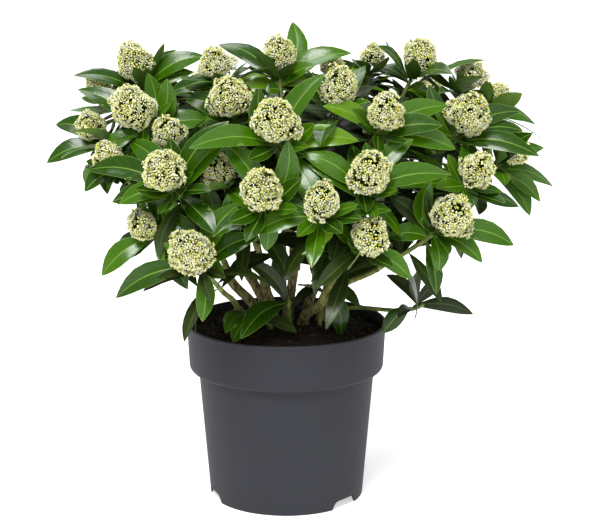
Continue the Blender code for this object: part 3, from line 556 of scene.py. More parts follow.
def leaf_top(name, deep, light, gloss=0.34, rough=0.14):
    """The glossy upper side: a paler stripe along the midrib, faint side veins, and a mottle
    that differs from leaf to leaf."""
    made = Finish(name, gloss)
    side, tint, veins = blade_veins(made, 8.0)
    mottle = made.grain(75.0, 4.0, 0.6)
    colour = made.blend(mottle * 0.6 + tint * 0.4, deep, light)
    colour = made.blend((1.0 - side) ** 22.0 * 0.45, colour, srgb(128, 164, 48))
    colour = made.blend(veins * 0.035, colour, srgb(140, 166, 80))
    height = mottle * 1.1 - veins * 0.12 + made.grain(420.0, 3.0) * 0.15
    return made.wear(colour, rough + 0.18 * mottle, height, 0.36, 0.6 * MM)


def leaf_under(name, deep, light):
    """The matt, paler underside, with the side veins standing out."""
    made = Finish(name, gloss=0.3)
    side, tint, veins = blade_veins(made, 6.0)
    mottle = made.grain(75.0, 4.0, 0.6)
    colour = made.blend(mottle * 0.7 + tint * 0.3, deep, light)
    colour = made.blend(veins * 0.12, colour, srgb(150, 170, 100))
    return made.wear(colour, 0.50 + 0.15 * mottle, veins + mottle, 0.3, 0.4 * MM)


def plain_part(name, dark, light, rough=0.45, gloss=0.4):
    """A small part, such as a midrib, a petal or a bud, with a faint mottle."""
    return mottled(name, gloss, (260.0, 3.0), dark, light, (rough, 0.1))


def turned(profile, sides):
    """A bmesh turned about Z from a profile of (radius, height) with both ends on the axis."""
    shape = bmesh.new()
    line = [shape.verts.new((radius, 0.0, height)) for radius, height in profile]
    edges = [shape.edges.new(pair) for pair in zip(line, line[1:])]
    bmesh.ops.spin(
        shape, geom=line + edges, cent=(0, 0, 0), axis=(0, 0, 1), dvec=(0, 0, 0),
        angle=2 * math.pi, steps=sides, use_merge=True, use_duplicate=False,
    )
    bmesh.ops.remove_doubles(shape, verts=shape.verts[:], dist=1e-6)
    bmesh.ops.recalc_face_normals(shape, faces=shape.faces[:])
    return shape


def outer_wall(*collar):
    """From the middle of the pot's underside to its shoulder, over its collar to its lip."""
    return [
        (0.0, 0.0),
        (BOSS_RADIUS, 0.0),
        (BOSS_RADIUS + 1.5 * MM, FLOOR_UNDERSIDE),
        (FOOT_RADIUS - WALL - EDGE_ROUND, FLOOR_UNDERSIDE),
        (FOOT_RADIUS - WALL, 0.0),
        (FOOT_RADIUS, 0.0),
        (SHOULDER_RADIUS, SHOULDER_HEIGHT),
        *collar,
        (RIM_RADIUS - EDGE_ROUND, POT_HEIGHT - LIP_HEIGHT),
        (RIM_RADIUS, POT_HEIGHT - LIP_HEIGHT + EDGE_ROUND),
    ]


def pot_profile():
    """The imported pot: up the outside, over the rim and down the inside."""
    return [
        *outer_wall(
            (COLLAR_RADIUS - 2.6 * MM, SHOULDER_HEIGHT + 2.0 * MM), (COLLAR_RADIUS, COLLAR_HEIGHT)
        ),
        (RIM_RADIUS, POT_HEIGHT - EDGE_ROUND),
        (RIM_RADIUS - EDGE_ROUND, POT_HEIGHT),
        (RIM_RADIUS - LIP_WIDTH, POT_HEIGHT),
        *inner_wall(),
        (0.0, FLOOR_TOP),
    ]


def inner_wall():
    """The inside of the pot, from just under the rim down to the corner of its floor."""
    return [
        (RIM_RADIUS - LIP_WIDTH - EDGE_ROUND, POT_HEIGHT - EDGE_ROUND),
        (COLLAR_RADIUS - WALL, COLLAR_HEIGHT + 2.0 * MM),
        (COLLAR_RADIUS - WALL - 3.0 * MM, SHOULDER_HEIGHT + 4.5 * MM),
        (SHOULDER_RADIUS - WALL, SHOULDER_HEIGHT),
        (FOOT_RADIUS - WALL + 1.0 * MM, FLOOR_TOP),
    ]


def soil_profile():
    """The compost fills the pot's inside, a hair clear of it, and rises round the stems."""
    (rim, rim_up), *wall = [(radius - SOIL_GAP, height) for radius, height in inner_wall()]
    collar, collar_up = wall[0]
    edge = collar + (rim - collar) * (SOIL_EDGE - collar_up) / (rim_up - collar_up)
    wall[-1] = (wall[-1][0], FLOOR_TOP + SOIL_GAP)
    return [
        (0.0, FLOOR_TOP + SOIL_GAP),
        *wall[::-1],
        (edge, SOIL_EDGE),
        (edge - SOIL_SHELF, SOIL_EDGE + 3.0 * MM),
        (SOIL_TOP_RADIUS, SOIL_TOP),
        (0.0, SOIL_TOP),
    ]


def crossing(start, heading, end, arrival, steps, swing=Vector()):
    """Points of a smooth limb from start along heading to end, where it points along arrival."""
    reach = (end - start).length / 3
    handle_out = start + heading * reach + swing
    handle_in = end - arrival * reach + swing
    points = []
    for step in range(steps + 1):
        t = step / steps
        s = 1 - t
        points.append(
            start * s**3 + handle_out * (3 * s * s * t) + handle_in * (3 * s * t * t) + end * t**3
        )
    return points


def across_of(direction):
    """A unit vector square to direction."""
    other = Vector((1, 0, 0)) if abs(direction.x) < 0.7 else Vector((0, 1, 0))
    return direction.cross(other).normalized()


def aside(axis, way):
    """The part of a direction that is square to an axis."""
    return way - axis * way.dot(axis)


def bearing_on(axis, way):
    side = across_of(axis)
    return math.atan2(way.dot(axis.cross(side)), way.dot(side))


def lifted(way, lift):
    """The direction of a way, turned up by lift."""
    return (way.normalized() + UP * lift).normalized()


def mean(points):
    points = list(points)
    return sum(points, Vector()) / len(points)


def tapered(start, end, count, flare=1.0):
    """Radii from start to end, the first widened by flare."""
    radii = [start + (end - start) * i / (count - 1) for i in range(count)]
    radii[0] *= flare
    return radii


def tangents(points, first=None, last=None):
    """Unit directions along a run of points, with the end ones stated where given."""
    found = []
    for i in range(len(points)):
        ahead, behind = points[min(i + 1, len(points) - 1)], points[max(i - 1, 0)]
        found.append((ahead - behind).normalized())
    found[0] = first or found[0]
    found[-1] = last or found[-1]
    return found


def frames_along(headings):
    """At each heading two unit vectors square to it and to each other, with no needless twist."""
    side = across_of(headings[0])
    for heading in headings:
        side = aside(heading, side).normalized()
        yield side, heading.cross(side)


def tube(points, radii, sides, first=None, last=None):
    """Corners and faces of a closed tapering limb whose ends are cut square to first and last."""
    frames = frames_along(tangents(points, first, last))
    corners, faces = [], []
    for point, radius, (side, other) in zip(points, radii, frames):
        for k in range(sides):
            turn = 2 * math.pi * k / sides
            corners.append(point + (side * math.cos(turn) + other * math.sin(turn)) * radius)
    rings = len(points)
    for i in range(rings - 1):
        for k in range(sides):
            a, b = i * sides + k, i * sides + (k + 1) % sides
            faces += [(a, b, b + sides), (a, b + sides, a + sides)]
    last_ring = (rings - 1) * sides
    for k in range(1, sides - 1):
        faces.append((0, k + 1, k))
        faces.append((last_ring, last_ring + k, last_ring + k + 1))
    return corners, faces


def blade_section(half, keel, grow):
    """The corners of a blade's section, out and up from its midrib, all clear of it if grown."""
    lift = 0.10 * half
    if not grow:
        return [(-half, lift), (0.0, -keel), (half, lift)]
    out = half + grow
    under = [(-out, lift - grow), (0.0, -keel - grow), (out, lift - grow)]
    return [(-out, lift + grow), *under, (out, lift + grow)]


def skin_of(shape):
    """The corners and faces of a bmesh, which is freed."""
    shape.verts.index_update()
    corners = [corner.co.copy() for corner in shape.verts]
    faces = [tuple(corner.index for corner in face.verts) for face in shape.faces]
    shape.free()
    return corners, faces


def ball(subdivisions, place=None):
    """The corners and faces of an even ball, each corner moved to where place puts its way out."""
    shape = bmesh.new()
    bmesh.ops.create_icosphere(shape, subdivisions=subdivisions, radius=1.0)
    if place:
        for corner in shape.verts:
            corner.co = place(corner.co.normalized())
    return skin_of(shape)


class Leaf:
    """One leaf: where it springs from, the way it sets off, its upper side, and its sizes."""

    def __init__(self, root, heading, upper, length, width, bend):
        self.root, self.heading, self.length, self.width = root, heading, length, width
        self.upper = aside(heading, upper).normalized()
        self.side = heading.cross(self.upper)
        self.bend = bend
        self.arch, self.tint = 0.0, None

    def along(self, share):
        """The midrib's direction at a share of the length."""
        angle = self.bend * share
        return self.heading * math.cos(angle) - self.upper * math.sin(angle)

    def at(self, share):
        """The midrib's point at a share of the length, and the direction and upper side there."""
        point, done = self.root.copy(), 0.0
        while done < share - 1e-9:
            step = min(1 / BEND_STEPS, share - done)
            point += self.along(done + step / 2) * (self.length * step)
            done += step
        angle = self.bend * share
        upper = self.upper * math.cos(angle) + self.heading * math.sin(angle)
        return point, self.along(share), upper

    def solid(self, grow=0.0, start=0.0):
        """Corners and faces of the plain blade: a shallow keel under a flat top, root to tip.
        A grown one stands clear of it on every side."""
        corners = []
        foot = PETIOLE / (self.width / 2) if start == 0 else 0.5
        for share, wide, keel in ((start, foot, 0.8 * MM), *BLADE_SECTIONS):
            point, _, upper = self.at(share)
            half = self.width / 2 * wide
            for out, up in blade_section(half, keel, grow):
                corners.append(point + self.side * out + upper * up)
        tip, along, _ = self.at(1.0)
        corners.append(tip + along * grow)
        ring = (len(corners) - 1) // 3
        faces = [(0, k, k + 1) for k in range(1, ring - 1)]
        for k in range(ring):
            near, far = (k, (k + 1) % ring), (ring + k, ring + (k + 1) % ring)
            for a, b in (near, far):
                faces += [(a, b + ring, b), (a, a + ring, b + ring)]
            faces.append((2 * ring + k, 3 * ring, 2 * ring + (k + 1) % ring))
        return corners, faces


class Head:
    """A flower head: a blunt cone of blossom on its shoot's tip, with a few shallow lobes."""

    def __init__(self, middle, axis, width, rng):
        self.middle, self.axis, self.radius = middle, axis, width * MM / 2
        self.peak = rng.uniform(*PEAK_SIZE)
        self.lobes = []
        for _ in range(LOBES):
            turn, tilt = rng.uniform(0, 2 * math.pi), rng.uniform(*LOBE_TILT)
            side = across_of(axis)
            way = Matrix.Rotation(turn, 3, axis) @ (side * math.sin(tilt) + axis * math.cos(tilt))
            self.lobes.append((way, rng.uniform(*LOBE_SIZE)))

    def surface(self, way):
        """The point of its skin that lies along a unit direction from its middle."""
        lean = way.dot(self.axis)
        hip = math.exp(-(((lean - HIP_LEAN) / HIP_WIDTH) ** 2))
        reach = PLAIN_REACH + self.peak * max(lean, 0) ** PEAK_SHARPNESS + HIP_SIZE * hip
        for lobe, size in self.lobes:
            reach += size * max(way.dot(lobe), 0) ** LOBE_SHARPNESS
        return self.middle + way * (self.radius * reach)

    def solid(self, grow=0.0):
        return ball(2, lambda way: self.surface(way) + way * grow)


def skin_tree(corners, faces):
    """A search tree of a closed skin, in millimetres, as cuts of tiny faces would be missed."""
    return BVHTree.FromPolygons([corner / MM for corner in corners], faces)


def box_of(corners):
    """The lowest and the highest value of the corners along each axis."""
    return [[pick(c[i] for c in corners) for i in range(3)] for pick in (min, max)]


class Room:
    """Everything placed so far, so that a new piece can be tried against it."""

    def __init__(self):
        self.held = []

    def add(self, node, shape):
        self.held.append((node, skin_tree(*shape), *box_of(shape[0])))

    def touches(self, shape, nodes=None, skip=()):
        """True if the shape's skin cuts the skin of a held piece, of these nodes only if named."""
        low, high = box_of(shape[0])
        tree = None
        for node, other, their_low, their_high in self.held:
            if node in skip or (nodes is not None and node not in nodes):
                continue
            if any(low[i] > their_high[i] or high[i] < their_low[i] for i in range(3)):
                continue
            tree = tree or skin_tree(*shape)
            if tree.overlap(other):
                return True
        return False


class Shoot:
    """A leafy twig of one mass, and the head on its tip if it flowers."""

    def __init__(self, mass, tip, axis, head=None):
        self.mass, self.axis, self.head = mass, axis, head
        self.neck = head.middle - self.axis * (head.radius + NECK) if head else tip
        self.leaf_count = SPRIG_LEAVES
        if head:
            small = head.radius <= SMALL_HEAD / 2 * MM
            self.leaf_count = WHORL_LEAVES + (0 if small else LOWER_LEAVES)
        self.points, self.turn, self.leaves = [], 0.0, []
        self.twig, self.marks, self.sky_marks = False, [], 0

    def below_neck(self, distance):
        """The point that far down the shoot from its neck, and the shoot's direction there."""
        points = self.points[: self.neck_index + 1]
        left = distance
        for high, low in zip(points[::-1], points[-2::-1]):
            span = (high - low).length
            if left <= span:
                return high.lerp(low, left / span), (high - low).normalized()
            left -= span
        return points[0].copy(), (points[1] - points[0]).normalized()


def dome(point):
    """Under 1 inside the rounded outline of the heads, and over 1 outside."""
    return (
        abs(point.x / DOME_RADIUS_X) ** DOME_POWER
        + abs(point.y / DOME_RADIUS_Y) ** DOME_POWER
        + abs((point.z - DOME_CENTRE_Z) / DOME_RADIUS_Z) ** DOME_POWER
    )


def on_sight(across, up, depth):
    """The point at a depth along Y that shows at (across, up) on the plane through the axis."""
    sight = Vector((across * MM, 0.0, up * MM)) - EYE
    return EYE + sight * ((depth - EYE.y) / sight.y)


def shown(point):
    """Where a point shows, across and up, on the plane through the axis."""
    sight = point - EYE
    seen = EYE - sight * (EYE.y / sight.y)
    return seen.x / MM, seen.z / MM


def hides_sky(leaf):
    """Whether a leaf's midrib shows in one of the places where the sky does."""
    for share in (0.35, 0.6, 0.8, 1.0):
        across, up = shown(leaf.at(share)[0])
        for middle, height, half_width, half_height in SKY:
            if ((across - middle) / half_width) ** 2 + ((up - height) / half_height) ** 2 < 1:
                return True
    return False


def behind_dome(across, up, inset):
    """The place of a head that shows at (across, up): down its sight line to the dome, and in."""
    seen = Vector((across * MM, 0.0, up * MM))
    sight = (seen - EYE).normalized()
    steps = 80
    reach = 1.15 * DOME_RADIUS_Y / sight.y
    tried = [seen + sight * reach * (2 * i / steps - 1) for i in range(steps + 1)]
    inside = [place for place in tried if dome(place) <= 1]
    first = inside[0] if inside else min(tried, key=dome)
    return first + sight * inset * MM


def on_rear(bearing, up, side, width):
    """A place on the dome's surface at a bearing from the right, or from the left, and a height.
    The tip of a shoot with no flowers is further in."""
    turn = math.radians(bearing)
    level = 1 - abs((up * MM - DOME_CENTRE_Z) / DOME_RADIUS_Z) ** DOME_POWER
    spread = (
        abs(math.cos(turn) / DOME_RADIUS_X) ** DOME_POWER
        + abs(math.sin(turn) / DOME_RADIUS_Y) ** DOME_POWER
    )
    reach = (level / spread) ** (1 / DOME_POWER)
    place = Vector((side * math.cos(turn) * reach, math.sin(turn) * reach, up * MM))
    return place if width else place.lerp(HEART, LEAFY_INSET)


def head_plan(rng):
    """For each stem, its foot and its boughs, and for each bough the heads that it carries."""
    plan = {}
    for stem, (foot, boughs) in STEMS.items():
        places = {
            bough: [(behind_dome(across, up, inset), width) for across, up, inset, width in shoots]
            for bough, shoots in boughs.items()
        }
        plan[stem] = (foot, places)
    for stem, foot in REAR_STEMS.items():
        side = 1 if foot[0] > 0 else -1
        skew_bearing, skew_up = side * REAR_SKEW_BEARING, -side * REAR_SKEW_UP
        places = {
            f"{stem}_{bough}": [
                (on_rear(bearing + turn + skew_bearing, up + skew_up, side, width), width)
                for turn, up, width in shoots
            ]
            for bough, (bearing, shoots) in REAR_BOUGHS.items()
        }
        plan[stem] = (foot, places)
    for _, places in plan.values():
        for bough, heads in places.items():
            places[bough] = [
                Head(middle, lifted(middle - HEART, HEAD_LIFT), width, rng)
                for middle, width in heads
            ]
    return plan


def clear_run(room, node, start, heading, end, arrival, steps, radii, sides, rng, skip, last=None):
    """A limb's run of points that touches nothing held, found by swinging its middle aside, and
    the swing."""
    for trial in range(LIMB_TRIALS):
        size = (FIRST_SWING + SWING_STEP * trial) * MM if trial else 0.0
        swing = Vector([rng.uniform(-1, 1) for _ in range(3)]).normalized() * size
        points = crossing(start, heading, end, arrival, steps, swing)
        thick = [radius + LIMB_CLEARANCE for radius in radii]
        if not room.touches(tube(points, thick, sides, heading, last), skip=skip):
            return points, swing
    raise RuntimeError(f"{node} finds no clear way")


def grow_limbs(plan, room, rng):
    """Places the heads, stems, boughs and shoots. Returns each limb's route by its node, and the
    list of shoots."""
    limbs, shoots = {}, []
    for _, boughs in plan.values():
        for name, heads in boughs.items():
            for head in heads:
                if head.radius:
                    room.add(f"foliage_{name}", head.solid(CLEARANCE))
    for stem, (foot_place, boughs) in plan.items():
        node = f"stem_{stem}"
        necks = {
            name: mean([h.middle - h.axis * (h.radius + BELOW_HEADS) for h in heads])
            for name, heads in boughs.items()
        }
        aim = mean(necks.values())
        foot = Vector((foot_place[0] * MM, foot_place[1] * MM, SOIL_TOP + GAP))
        fork = foot.lerp(aim, FORK_SHARE)
        rise = lifted(aim - foot, STEM_LIFT)
        radii = tapered(STEM_RADIUS, STEM_TIP_RADIUS, STEM_STEPS + 1, FLARE)
        points, swing = clear_run(
            room, node, foot, UP, fork, rise, STEM_STEPS, radii, STEM_SIDES, rng, (), rise
        )
        limbs[node] = (foot, UP, fork, rise, swing)
        room.add(node, tube(points, radii, STEM_SIDES, UP, rise))
        grow_boughs(stem, boughs, necks, fork, rise, limbs, shoots, room, rng)
    return limbs, shoots


def grow_boughs(stem, boughs, necks, fork, rise, limbs, shoots, room, rng):
    """Places a stem's boughs side by side on its tip, and the shoots on each bough."""
    count = len(boughs)
    spacing = 0.0 if count == 1 else (BOUGH_RADIUS + 0.25 * MM) / math.sin(math.pi / count)
    # Each bough takes the side of the tip that faces where it goes
    order = sorted(boughs, key=lambda name: bearing_on(rise, necks[name] - fork))
    zero = across_of(rise)
    if count > 1:
        ways = [aside(rise, necks[name] - fork) for name in order]
        zero = (ways[0] - mean(ways)).normalized()
    for i, name in enumerate(order):
        node, mass = f"bough_{name}", f"foliage_{name}"
        seat = Matrix.Rotation(2 * math.pi * i / count, 3, rise) @ zero * spacing
        start = fork + seat + rise * GAP
        aim = necks[name]
        end = start.lerp(aim, BOUGH_SHARE)
        arrival = (aim - start).normalized()
        radii = tapered(BOUGH_RADIUS, BOUGH_TIP_RADIUS, BOUGH_STEPS + 1)
        points, swing = clear_run(
            room, node, start, rise, end, arrival, BOUGH_STEPS, radii, BOUGH_SIDES, rng,
            (f"stem_{stem}",) + tuple(f"bough_{n}" for n in order[:i]), arrival,
        )
        limbs[node] = (start, rise, end, arrival, swing)
        room.add(node, tube(points, radii, BOUGH_SIDES, rise, arrival))
        root = end + arrival * GAP
        for number, head in enumerate(boughs[name]):
            shoot = Shoot(mass, head.middle, head.axis, head if head.radius else None)
            shoot.part = PARTS[stem]
            place_shoot(shoot, root, arrival, room, rng, (mass, node))
            give_marks(shoot, name, number)
            shoots.append(shoot)


def give_marks(shoot, name, number):
    """Notes where the tips of the shoot's marked leaves show, those against the sky first, each
    with how far behind it lies and its tint. The sky's leaves are dealt theirs."""
    def marks_in(table, tint):
        found = [mark[1:] for mark in table.get(name, ()) if mark[0] == number]
        return [(*mark, *(0, tint)[len(mark) - 2:]) for mark in found]

    sky = marks_in(MARKED_LEAVES, None)
    shoot.marks, shoot.sky_marks = sky + marks_in(CLOSER_LEAVES, "mid"), len(sky)


def tip_in_head(shoot):
    return shoot.neck + shoot.axis * (NECK + TIP_IN_HEAD * shoot.head.radius)


def place_shoot(shoot, root, heading, room, rng, skip):
    """Runs a shoot from its bough's tip to its neck, and on into its head."""
    radii = tapered(SHOOT_RADIUS, SHOOT_TIP_RADIUS, SHOOT_STEPS + 1)
    points, swing = clear_run(
        room, shoot.mass, root, heading, shoot.neck, shoot.axis, SHOOT_STEPS, radii,
        SHOOT_SIDES, rng, skip, shoot.axis,
    )
    shoot.neck_index = len(points) - 1
    shoot.route = (root, heading, shoot.neck, shoot.axis, swing)
    if shoot.head:
        points.append(tip_in_head(shoot))
        radii.append(SHOOT_TIP_RADIUS)
    shoot.points = points
    shoot.turn = rng.uniform(0, 2 * math.pi)
    room.add(shoot.mass, tube(points, radii, SHOOT_SIDES, heading, shoot.axis))


def grow_sprigs(room, rng):
    """The leafy shoots without flowers that spring from the compost."""
    made = []
    for name, (foot, tip) in SPRIGS.items():
        root = Vector((foot[0] * MM, foot[1] * MM, SOIL_TOP + GAP))
        end = Vector([value * MM for value in tip])
        shoot = Shoot(f"foliage_{name}", end, lifted(end - root, LEAFY_LIFT))
        shoot.part = LOW_PART
        place_shoot(shoot, root, UP, room, rng, (shoot.mass,))
        give_marks(shoot, name, 0)
        made.append(shoot)
    return made


def marked_leaf(shoot, order, trial):
    """The shoot's marked leaf of that order, whose tip moves along its sight line with trials."""
    across, up, behind, tint = shoot.marks[order]
    root_trial, shift_trial = divmod(trial, len(SHIFTS_TRIED))
    tip = on_sight(across, up, shoot.neck.y + (behind + SHIFTS_TRIED[shift_trial]) * MM)
    down = FIRST_LEAF_DROP + LEAF_STEP * (order % ORDERS_IN_STEP)
    root, along = shoot.below_neck(down + ROOT_STEP * root_trial)
    chord = (tip - root).normalized()
    upright = chord.z > UPRIGHT * math.hypot(chord.x, chord.z)
    # From roots further down it bends less and faces the viewer less
    shared = 1 - LESS_EACH_ROOT * root_trial
    bend = math.radians(CUPPED_BEND if upright else MARKED_BEND) * shared
    upper = aside(chord, along * 0.5 + UP * 0.35 + VIEWER * shared).normalized()
    heading = chord * math.cos(bend / 2) + upper * math.sin(bend / 2)
    length = (tip - root).length * (bend / 2) / math.sin(bend / 2)
    width = max(min(length, LONG_MARKED), SHORT_MARKED) * LEAF_WIDTH_SHARE
    leaf = Leaf(root, heading, upper, length, width, bend)
    # In the picture it bulges up, or away from its head if it stands upright
    bulge = aside(UP, leaf.at(0.5)[0] - shoot.neck) if upright else UP
    leaf.arch = math.copysign(UPRIGHT_ARCH if upright else ARCH, leaf.side.dot(bulge))
    leaf.tint = tint
    return leaf


def set_off(shoot, down, place, spread, trial, draws, pull=0.0):
    """Where a leaf that far down its shoot springs from, the shoot's direction there, the way out
    at the leaf's place round the shoot, and the way that the leaf sets off, spread from the
    shoot. A pull turns it to the middle of the crown."""
    root, along = shoot.below_neck(down)
    shift = math.radians(TURNS_TRIED[trial] + TURN_VARIES * draws[0])
    out = Matrix.Rotation(shoot.turn + place * GOLDEN_ANGLE + shift, 3, along) @ across_of(along)
    if pull:
        out = (out + aside(along, CROWN_MIDDLE - root).normalized() * pull).normalized()
    spread = math.radians(spread)
    return root, along, out, (along * math.cos(spread) + out * math.sin(spread)).normalized()


def whorl_leaf(shoot, order, trial, draws):
    """The shoot's leaf of that order, a little further aside and up with each trial."""
    low = order >= WHORL_LEAVES
    down = FIRST_LEAF_DROP + LEAF_STEP * order
    if low:
        down = LOW_LEAF_DROP + LOW_LEAF_STEP * (order - WHORL_LEAVES)
    by_spread, by_length, by_width, by_bend = LEAF_VARIES
    wider, shorter = LEAF_TRIAL
    spread = LEAF_SPREAD + by_spread * draws[1] + (LOW_EXTRA_SPREAD if low else 0)
    spread += wider * trial
    root, along, out, heading = set_off(shoot, down, order, spread, trial, draws)
    upper = along * 0.75 + UP * 0.55 + out * 0.1 + Vector(draws[2:5]) * 0.22
    length = LEAF_LENGTH * (1 + by_length * draws[5]) * (1.0 - shorter * trial)
    if shoot.neck.z > CREST_HEIGHT:
        length *= CREST_LEAF_SHARE
    width = length * LEAF_WIDTH_SHARE * (1 + by_width * draws[3])
    return Leaf(root, heading, upper, length, width, math.radians(LEAF_BEND + by_bend * draws[4]))


def collar_leaf(shoot, number, trial, draws):
    """A smaller leaf close under a head, which rises round it."""
    down = COLLAR_DROP + COLLAR_STEP * number
    by_spread, by_length, by_width, by_bend = COLLAR_VARIES
    wider, shorter = COLLAR_TRIAL
    spread = COLLAR_SPREAD + by_spread * draws[1] + wider * trial
    root, along, _, heading = set_off(
        shoot, down, number + COLLAR_PLACE, spread, trial, draws
    )
    length = LEAF_LENGTH * (COLLAR_SHARE + by_length * draws[2]) * (1.0 - shorter * trial)
    width = length * (LEAF_WIDTH_SHARE + COLLAR_EXTRA_WIDTH + by_width * draws[3])
    bend = math.radians(COLLAR_BEND + by_bend * draws[4] + COLLAR_BEND_STEP * trial)
    return Leaf(root, heading, along + Vector(draws[3:6]) * 0.15, length, width, bend)


def inner_leaf(shoot, number, trial, draws):
    """A leaf lower on a shoot, which leans to the middle of the crown."""
    down = INNER_DROP + INNER_STEP * number
    by_spread, by_length, by_width, by_bend = INNER_VARIES
    wider, shorter = INNER_TRIAL
    spread = INNER_SPREAD + by_spread * draws[1] + wider * trial
    root, along, _, heading = set_off(
        shoot, down, number + INNER_PLACE, spread, trial, draws, INNER_PULL
    )
    length = LEAF_LENGTH * (INNER_SHARE + by_length * draws[2]) * (1.0 - shorter * trial)
    width = length * (LEAF_WIDTH_SHARE + by_width * draws[3])
    upper = UP + along * 0.4 + Vector(draws[3:6]) * 0.2
    return Leaf(root, heading, upper, length, width, math.radians(LEAF_BEND + by_bend * draws[4]))


def fits(leaf, mass, room, clearance=CLEARANCE, fused=FUSED_SHARE):
    """Whether a leaf clears every other node, and its blade the rest of its own."""
    if room.touches(leaf.solid(clearance), skip=(mass,)):
        return False
    return not room.touches(leaf.solid(clearance, start=fused), nodes=(mass,))


def keep_first(shoot, trials, order, room, ease=()):
    """Keeps the first of a leaf's trials that fits and leaves the sky open, with its place in the
    shoot's order. Marked leaves, which alone have an arch, show against the sky."""
    for leaf in trials:
        if (leaf.arch or not hides_sky(leaf)) and fits(leaf, shoot.mass, room, *ease):
            leaf.order = order
            shoot.leaves.append(leaf)
            room.add(shoot.mass, leaf.solid())
            return


def grow_marked(shoots, room):
    """Deals the marked leaves: those against the sky, and then the closer ones."""
    def try_marks(shoot, orders, ease):
        for order in orders:
            trials = (marked_leaf(shoot, order, trial) for trial in range(MARKED_TRIALS))
            keep_first(shoot, trials, order, room, ease)

    for shoot in shoots:
        try_marks(shoot, range(shoot.sky_marks), ())
    for shoot in shoots:
        try_marks(shoot, range(shoot.sky_marks, len(shoot.marks)), FINE_EASE)


def deal(grow, numbers, shoots, room, rng, ease=FINE_EASE, order=None, wants=None):
    """One leaf of each number to every shoot in turn that wants it, so that none is crowded out.
    The number is the leaf's place in the shoot's order, unless an order is given."""
    for number in numbers:
        for shoot in shoots:
            if wants and not wants(shoot, number):
                continue
            draws = [rng.uniform(-1, 1) for _ in range(6)]
            trials = (grow(shoot, number, trial, draws) for trial in range(len(TURNS_TRIED)))
            keep_first(shoot, trials, number if order is None else order, room, ease)


def deal_whorls(shoots, orders, extra, room, rng, ease):
    """Whorl leaves past those that the shoot's marked ones stand for, a closer one as half a leaf,
    up to its count and some extra."""
    def wants(shoot, order):
        closer = len(shoot.marks) - shoot.sky_marks
        return len(shoot.marks) - closer // 2 <= order < shoot.leaf_count + extra

    deal(whorl_leaf, orders, shoots, room, rng, ease, wants=wants)


def deal_collars(shoots, room, rng):
    """Fills the room under the heads with smaller leaves."""
    deal(collar_leaf, range(COLLAR_LEAVES), shoots, room, rng, order=COLLAR_ORDER)


def deal_inner(shoots, room, rng):
    """Fills the middle of the crown with older leaves."""
    deal(inner_leaf, range(INNER_LEAVES), shoots, room, rng, order=INNER_ORDER)


def grow_twigs(shoots, room, rng):
    """Leafy twigs that spring from where the shoots of the rear boughs do."""
    made = []
    for name, tips in TWIGS.items():
        parent = next(shoot for shoot in shoots if shoot.mass == f"foliage_{name}")
        root, heading = parent.route[:2]
        for tip in tips:
            end = Vector(tip) * MM
            twig = Shoot(parent.mass, end, lifted(end - root, LEAFY_LIFT))
            twig.part, twig.twig = parent.part, True
            place_shoot(twig, root, heading, room, rng, (parent.mass, f"bough_{name}"))
            made.append(twig)
    orders = range(SPRIG_LEAVES + TWIG_EXTRA_LEAVES)
    deal_whorls(made, orders, TWIG_EXTRA_LEAVES, room, rng, FINE_EASE)
    deal_collars(made, room, rng)
    return made


class Heap:
    """Many small shapes joined into one mesh, each face with its own finish."""

    def __init__(self):
        self.corners, self.loops, self.sizes, self.slots, self.marks = [], [], [], [], []
        self.count = 0

    def add(self, corners, faces, slots, marks=None):
        """Takes copies of one shape: corners as (copies, corners, 3), the faces that they share,
        and the slot of each face, for all copies or for each."""
        corners = np.asarray(corners, dtype=np.float32)
        corners = corners.reshape(-1, *corners.shape[-2:])
        copies, size = corners.shape[:2]
        flat = np.concatenate([np.asarray(face) for face in faces])
        starts = self.count + size * np.arange(copies)
        self.corners.append(corners.reshape(-1, 3))
        self.loops.append((starts[:, None] + flat[None, :]).ravel())
        self.sizes.append(np.tile([len(face) for face in faces], copies))
        self.slots.append(np.broadcast_to(slots, (copies, len(faces))).ravel())
        if marks is not None:
            self.marks.append(np.asarray(marks, dtype=np.float32).reshape(-1, 3))
        self.count += copies * size

    def piece(self, name, finishes, slot, nodes, smooth=True):
        mesh = bpy.data.meshes.new(name)
        loops, sizes = np.concatenate(self.loops), np.concatenate(self.sizes)
        corners = np.concatenate(self.corners)
        mesh.vertices.add(len(corners))
        mesh.vertices.foreach_set("co", corners.ravel())
        mesh.loops.add(len(loops))
        mesh.loops.foreach_set("vertex_index", loops.astype(np.int32))
        mesh.polygons.add(len(sizes))
        mesh.polygons.foreach_set("loop_start", (np.cumsum(sizes) - sizes).astype(np.int32))
        mesh.polygons.foreach_set("material_index", np.concatenate(self.slots).astype(np.int32))
        if self.marks:
            marks = mesh.attributes.new("blade", "FLOAT_VECTOR", "POINT")
            marks.data.foreach_set("vector", np.concatenate(self.marks).ravel())
        mesh.update(calc_edges=True)
        return show(name, mesh, finishes, nodes, smooth)


def placed(name, data):
    """A new object of the scene."""
    thing = bpy.data.objects.new(name, data)
    bpy.context.scene.collection.objects.link(thing)
    return thing


def mesh_of(shape, name):
    """The mesh of a bmesh, which is freed."""
    mesh = bpy.data.meshes.new(name)
    shape.to_mesh(mesh)
    shape.free()
    return mesh


def show(name, mesh, finishes, nodes, smooth=True, crease=50):
    """Puts a mesh in the scene as a piece of the plant that stands for CAD nodes."""
    for finish in finishes:
        mesh.materials.append(finish)
    if smooth:
        mesh.shade_smooth()
        mesh.set_sharp_from_angle(angle=math.radians(crease))
    thing = placed(name, mesh)
    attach(thing, "root")
    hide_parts(*nodes)
    return thing


def breadth(share):
    """How wide a leaf is at a share of its length, as a share of its greatest width."""
    widest = LEAF_RISE / (LEAF_RISE + LEAF_FALL)
    return (share / widest) ** LEAF_RISE * ((1 - share) / (1 - widest)) ** LEAF_FALL


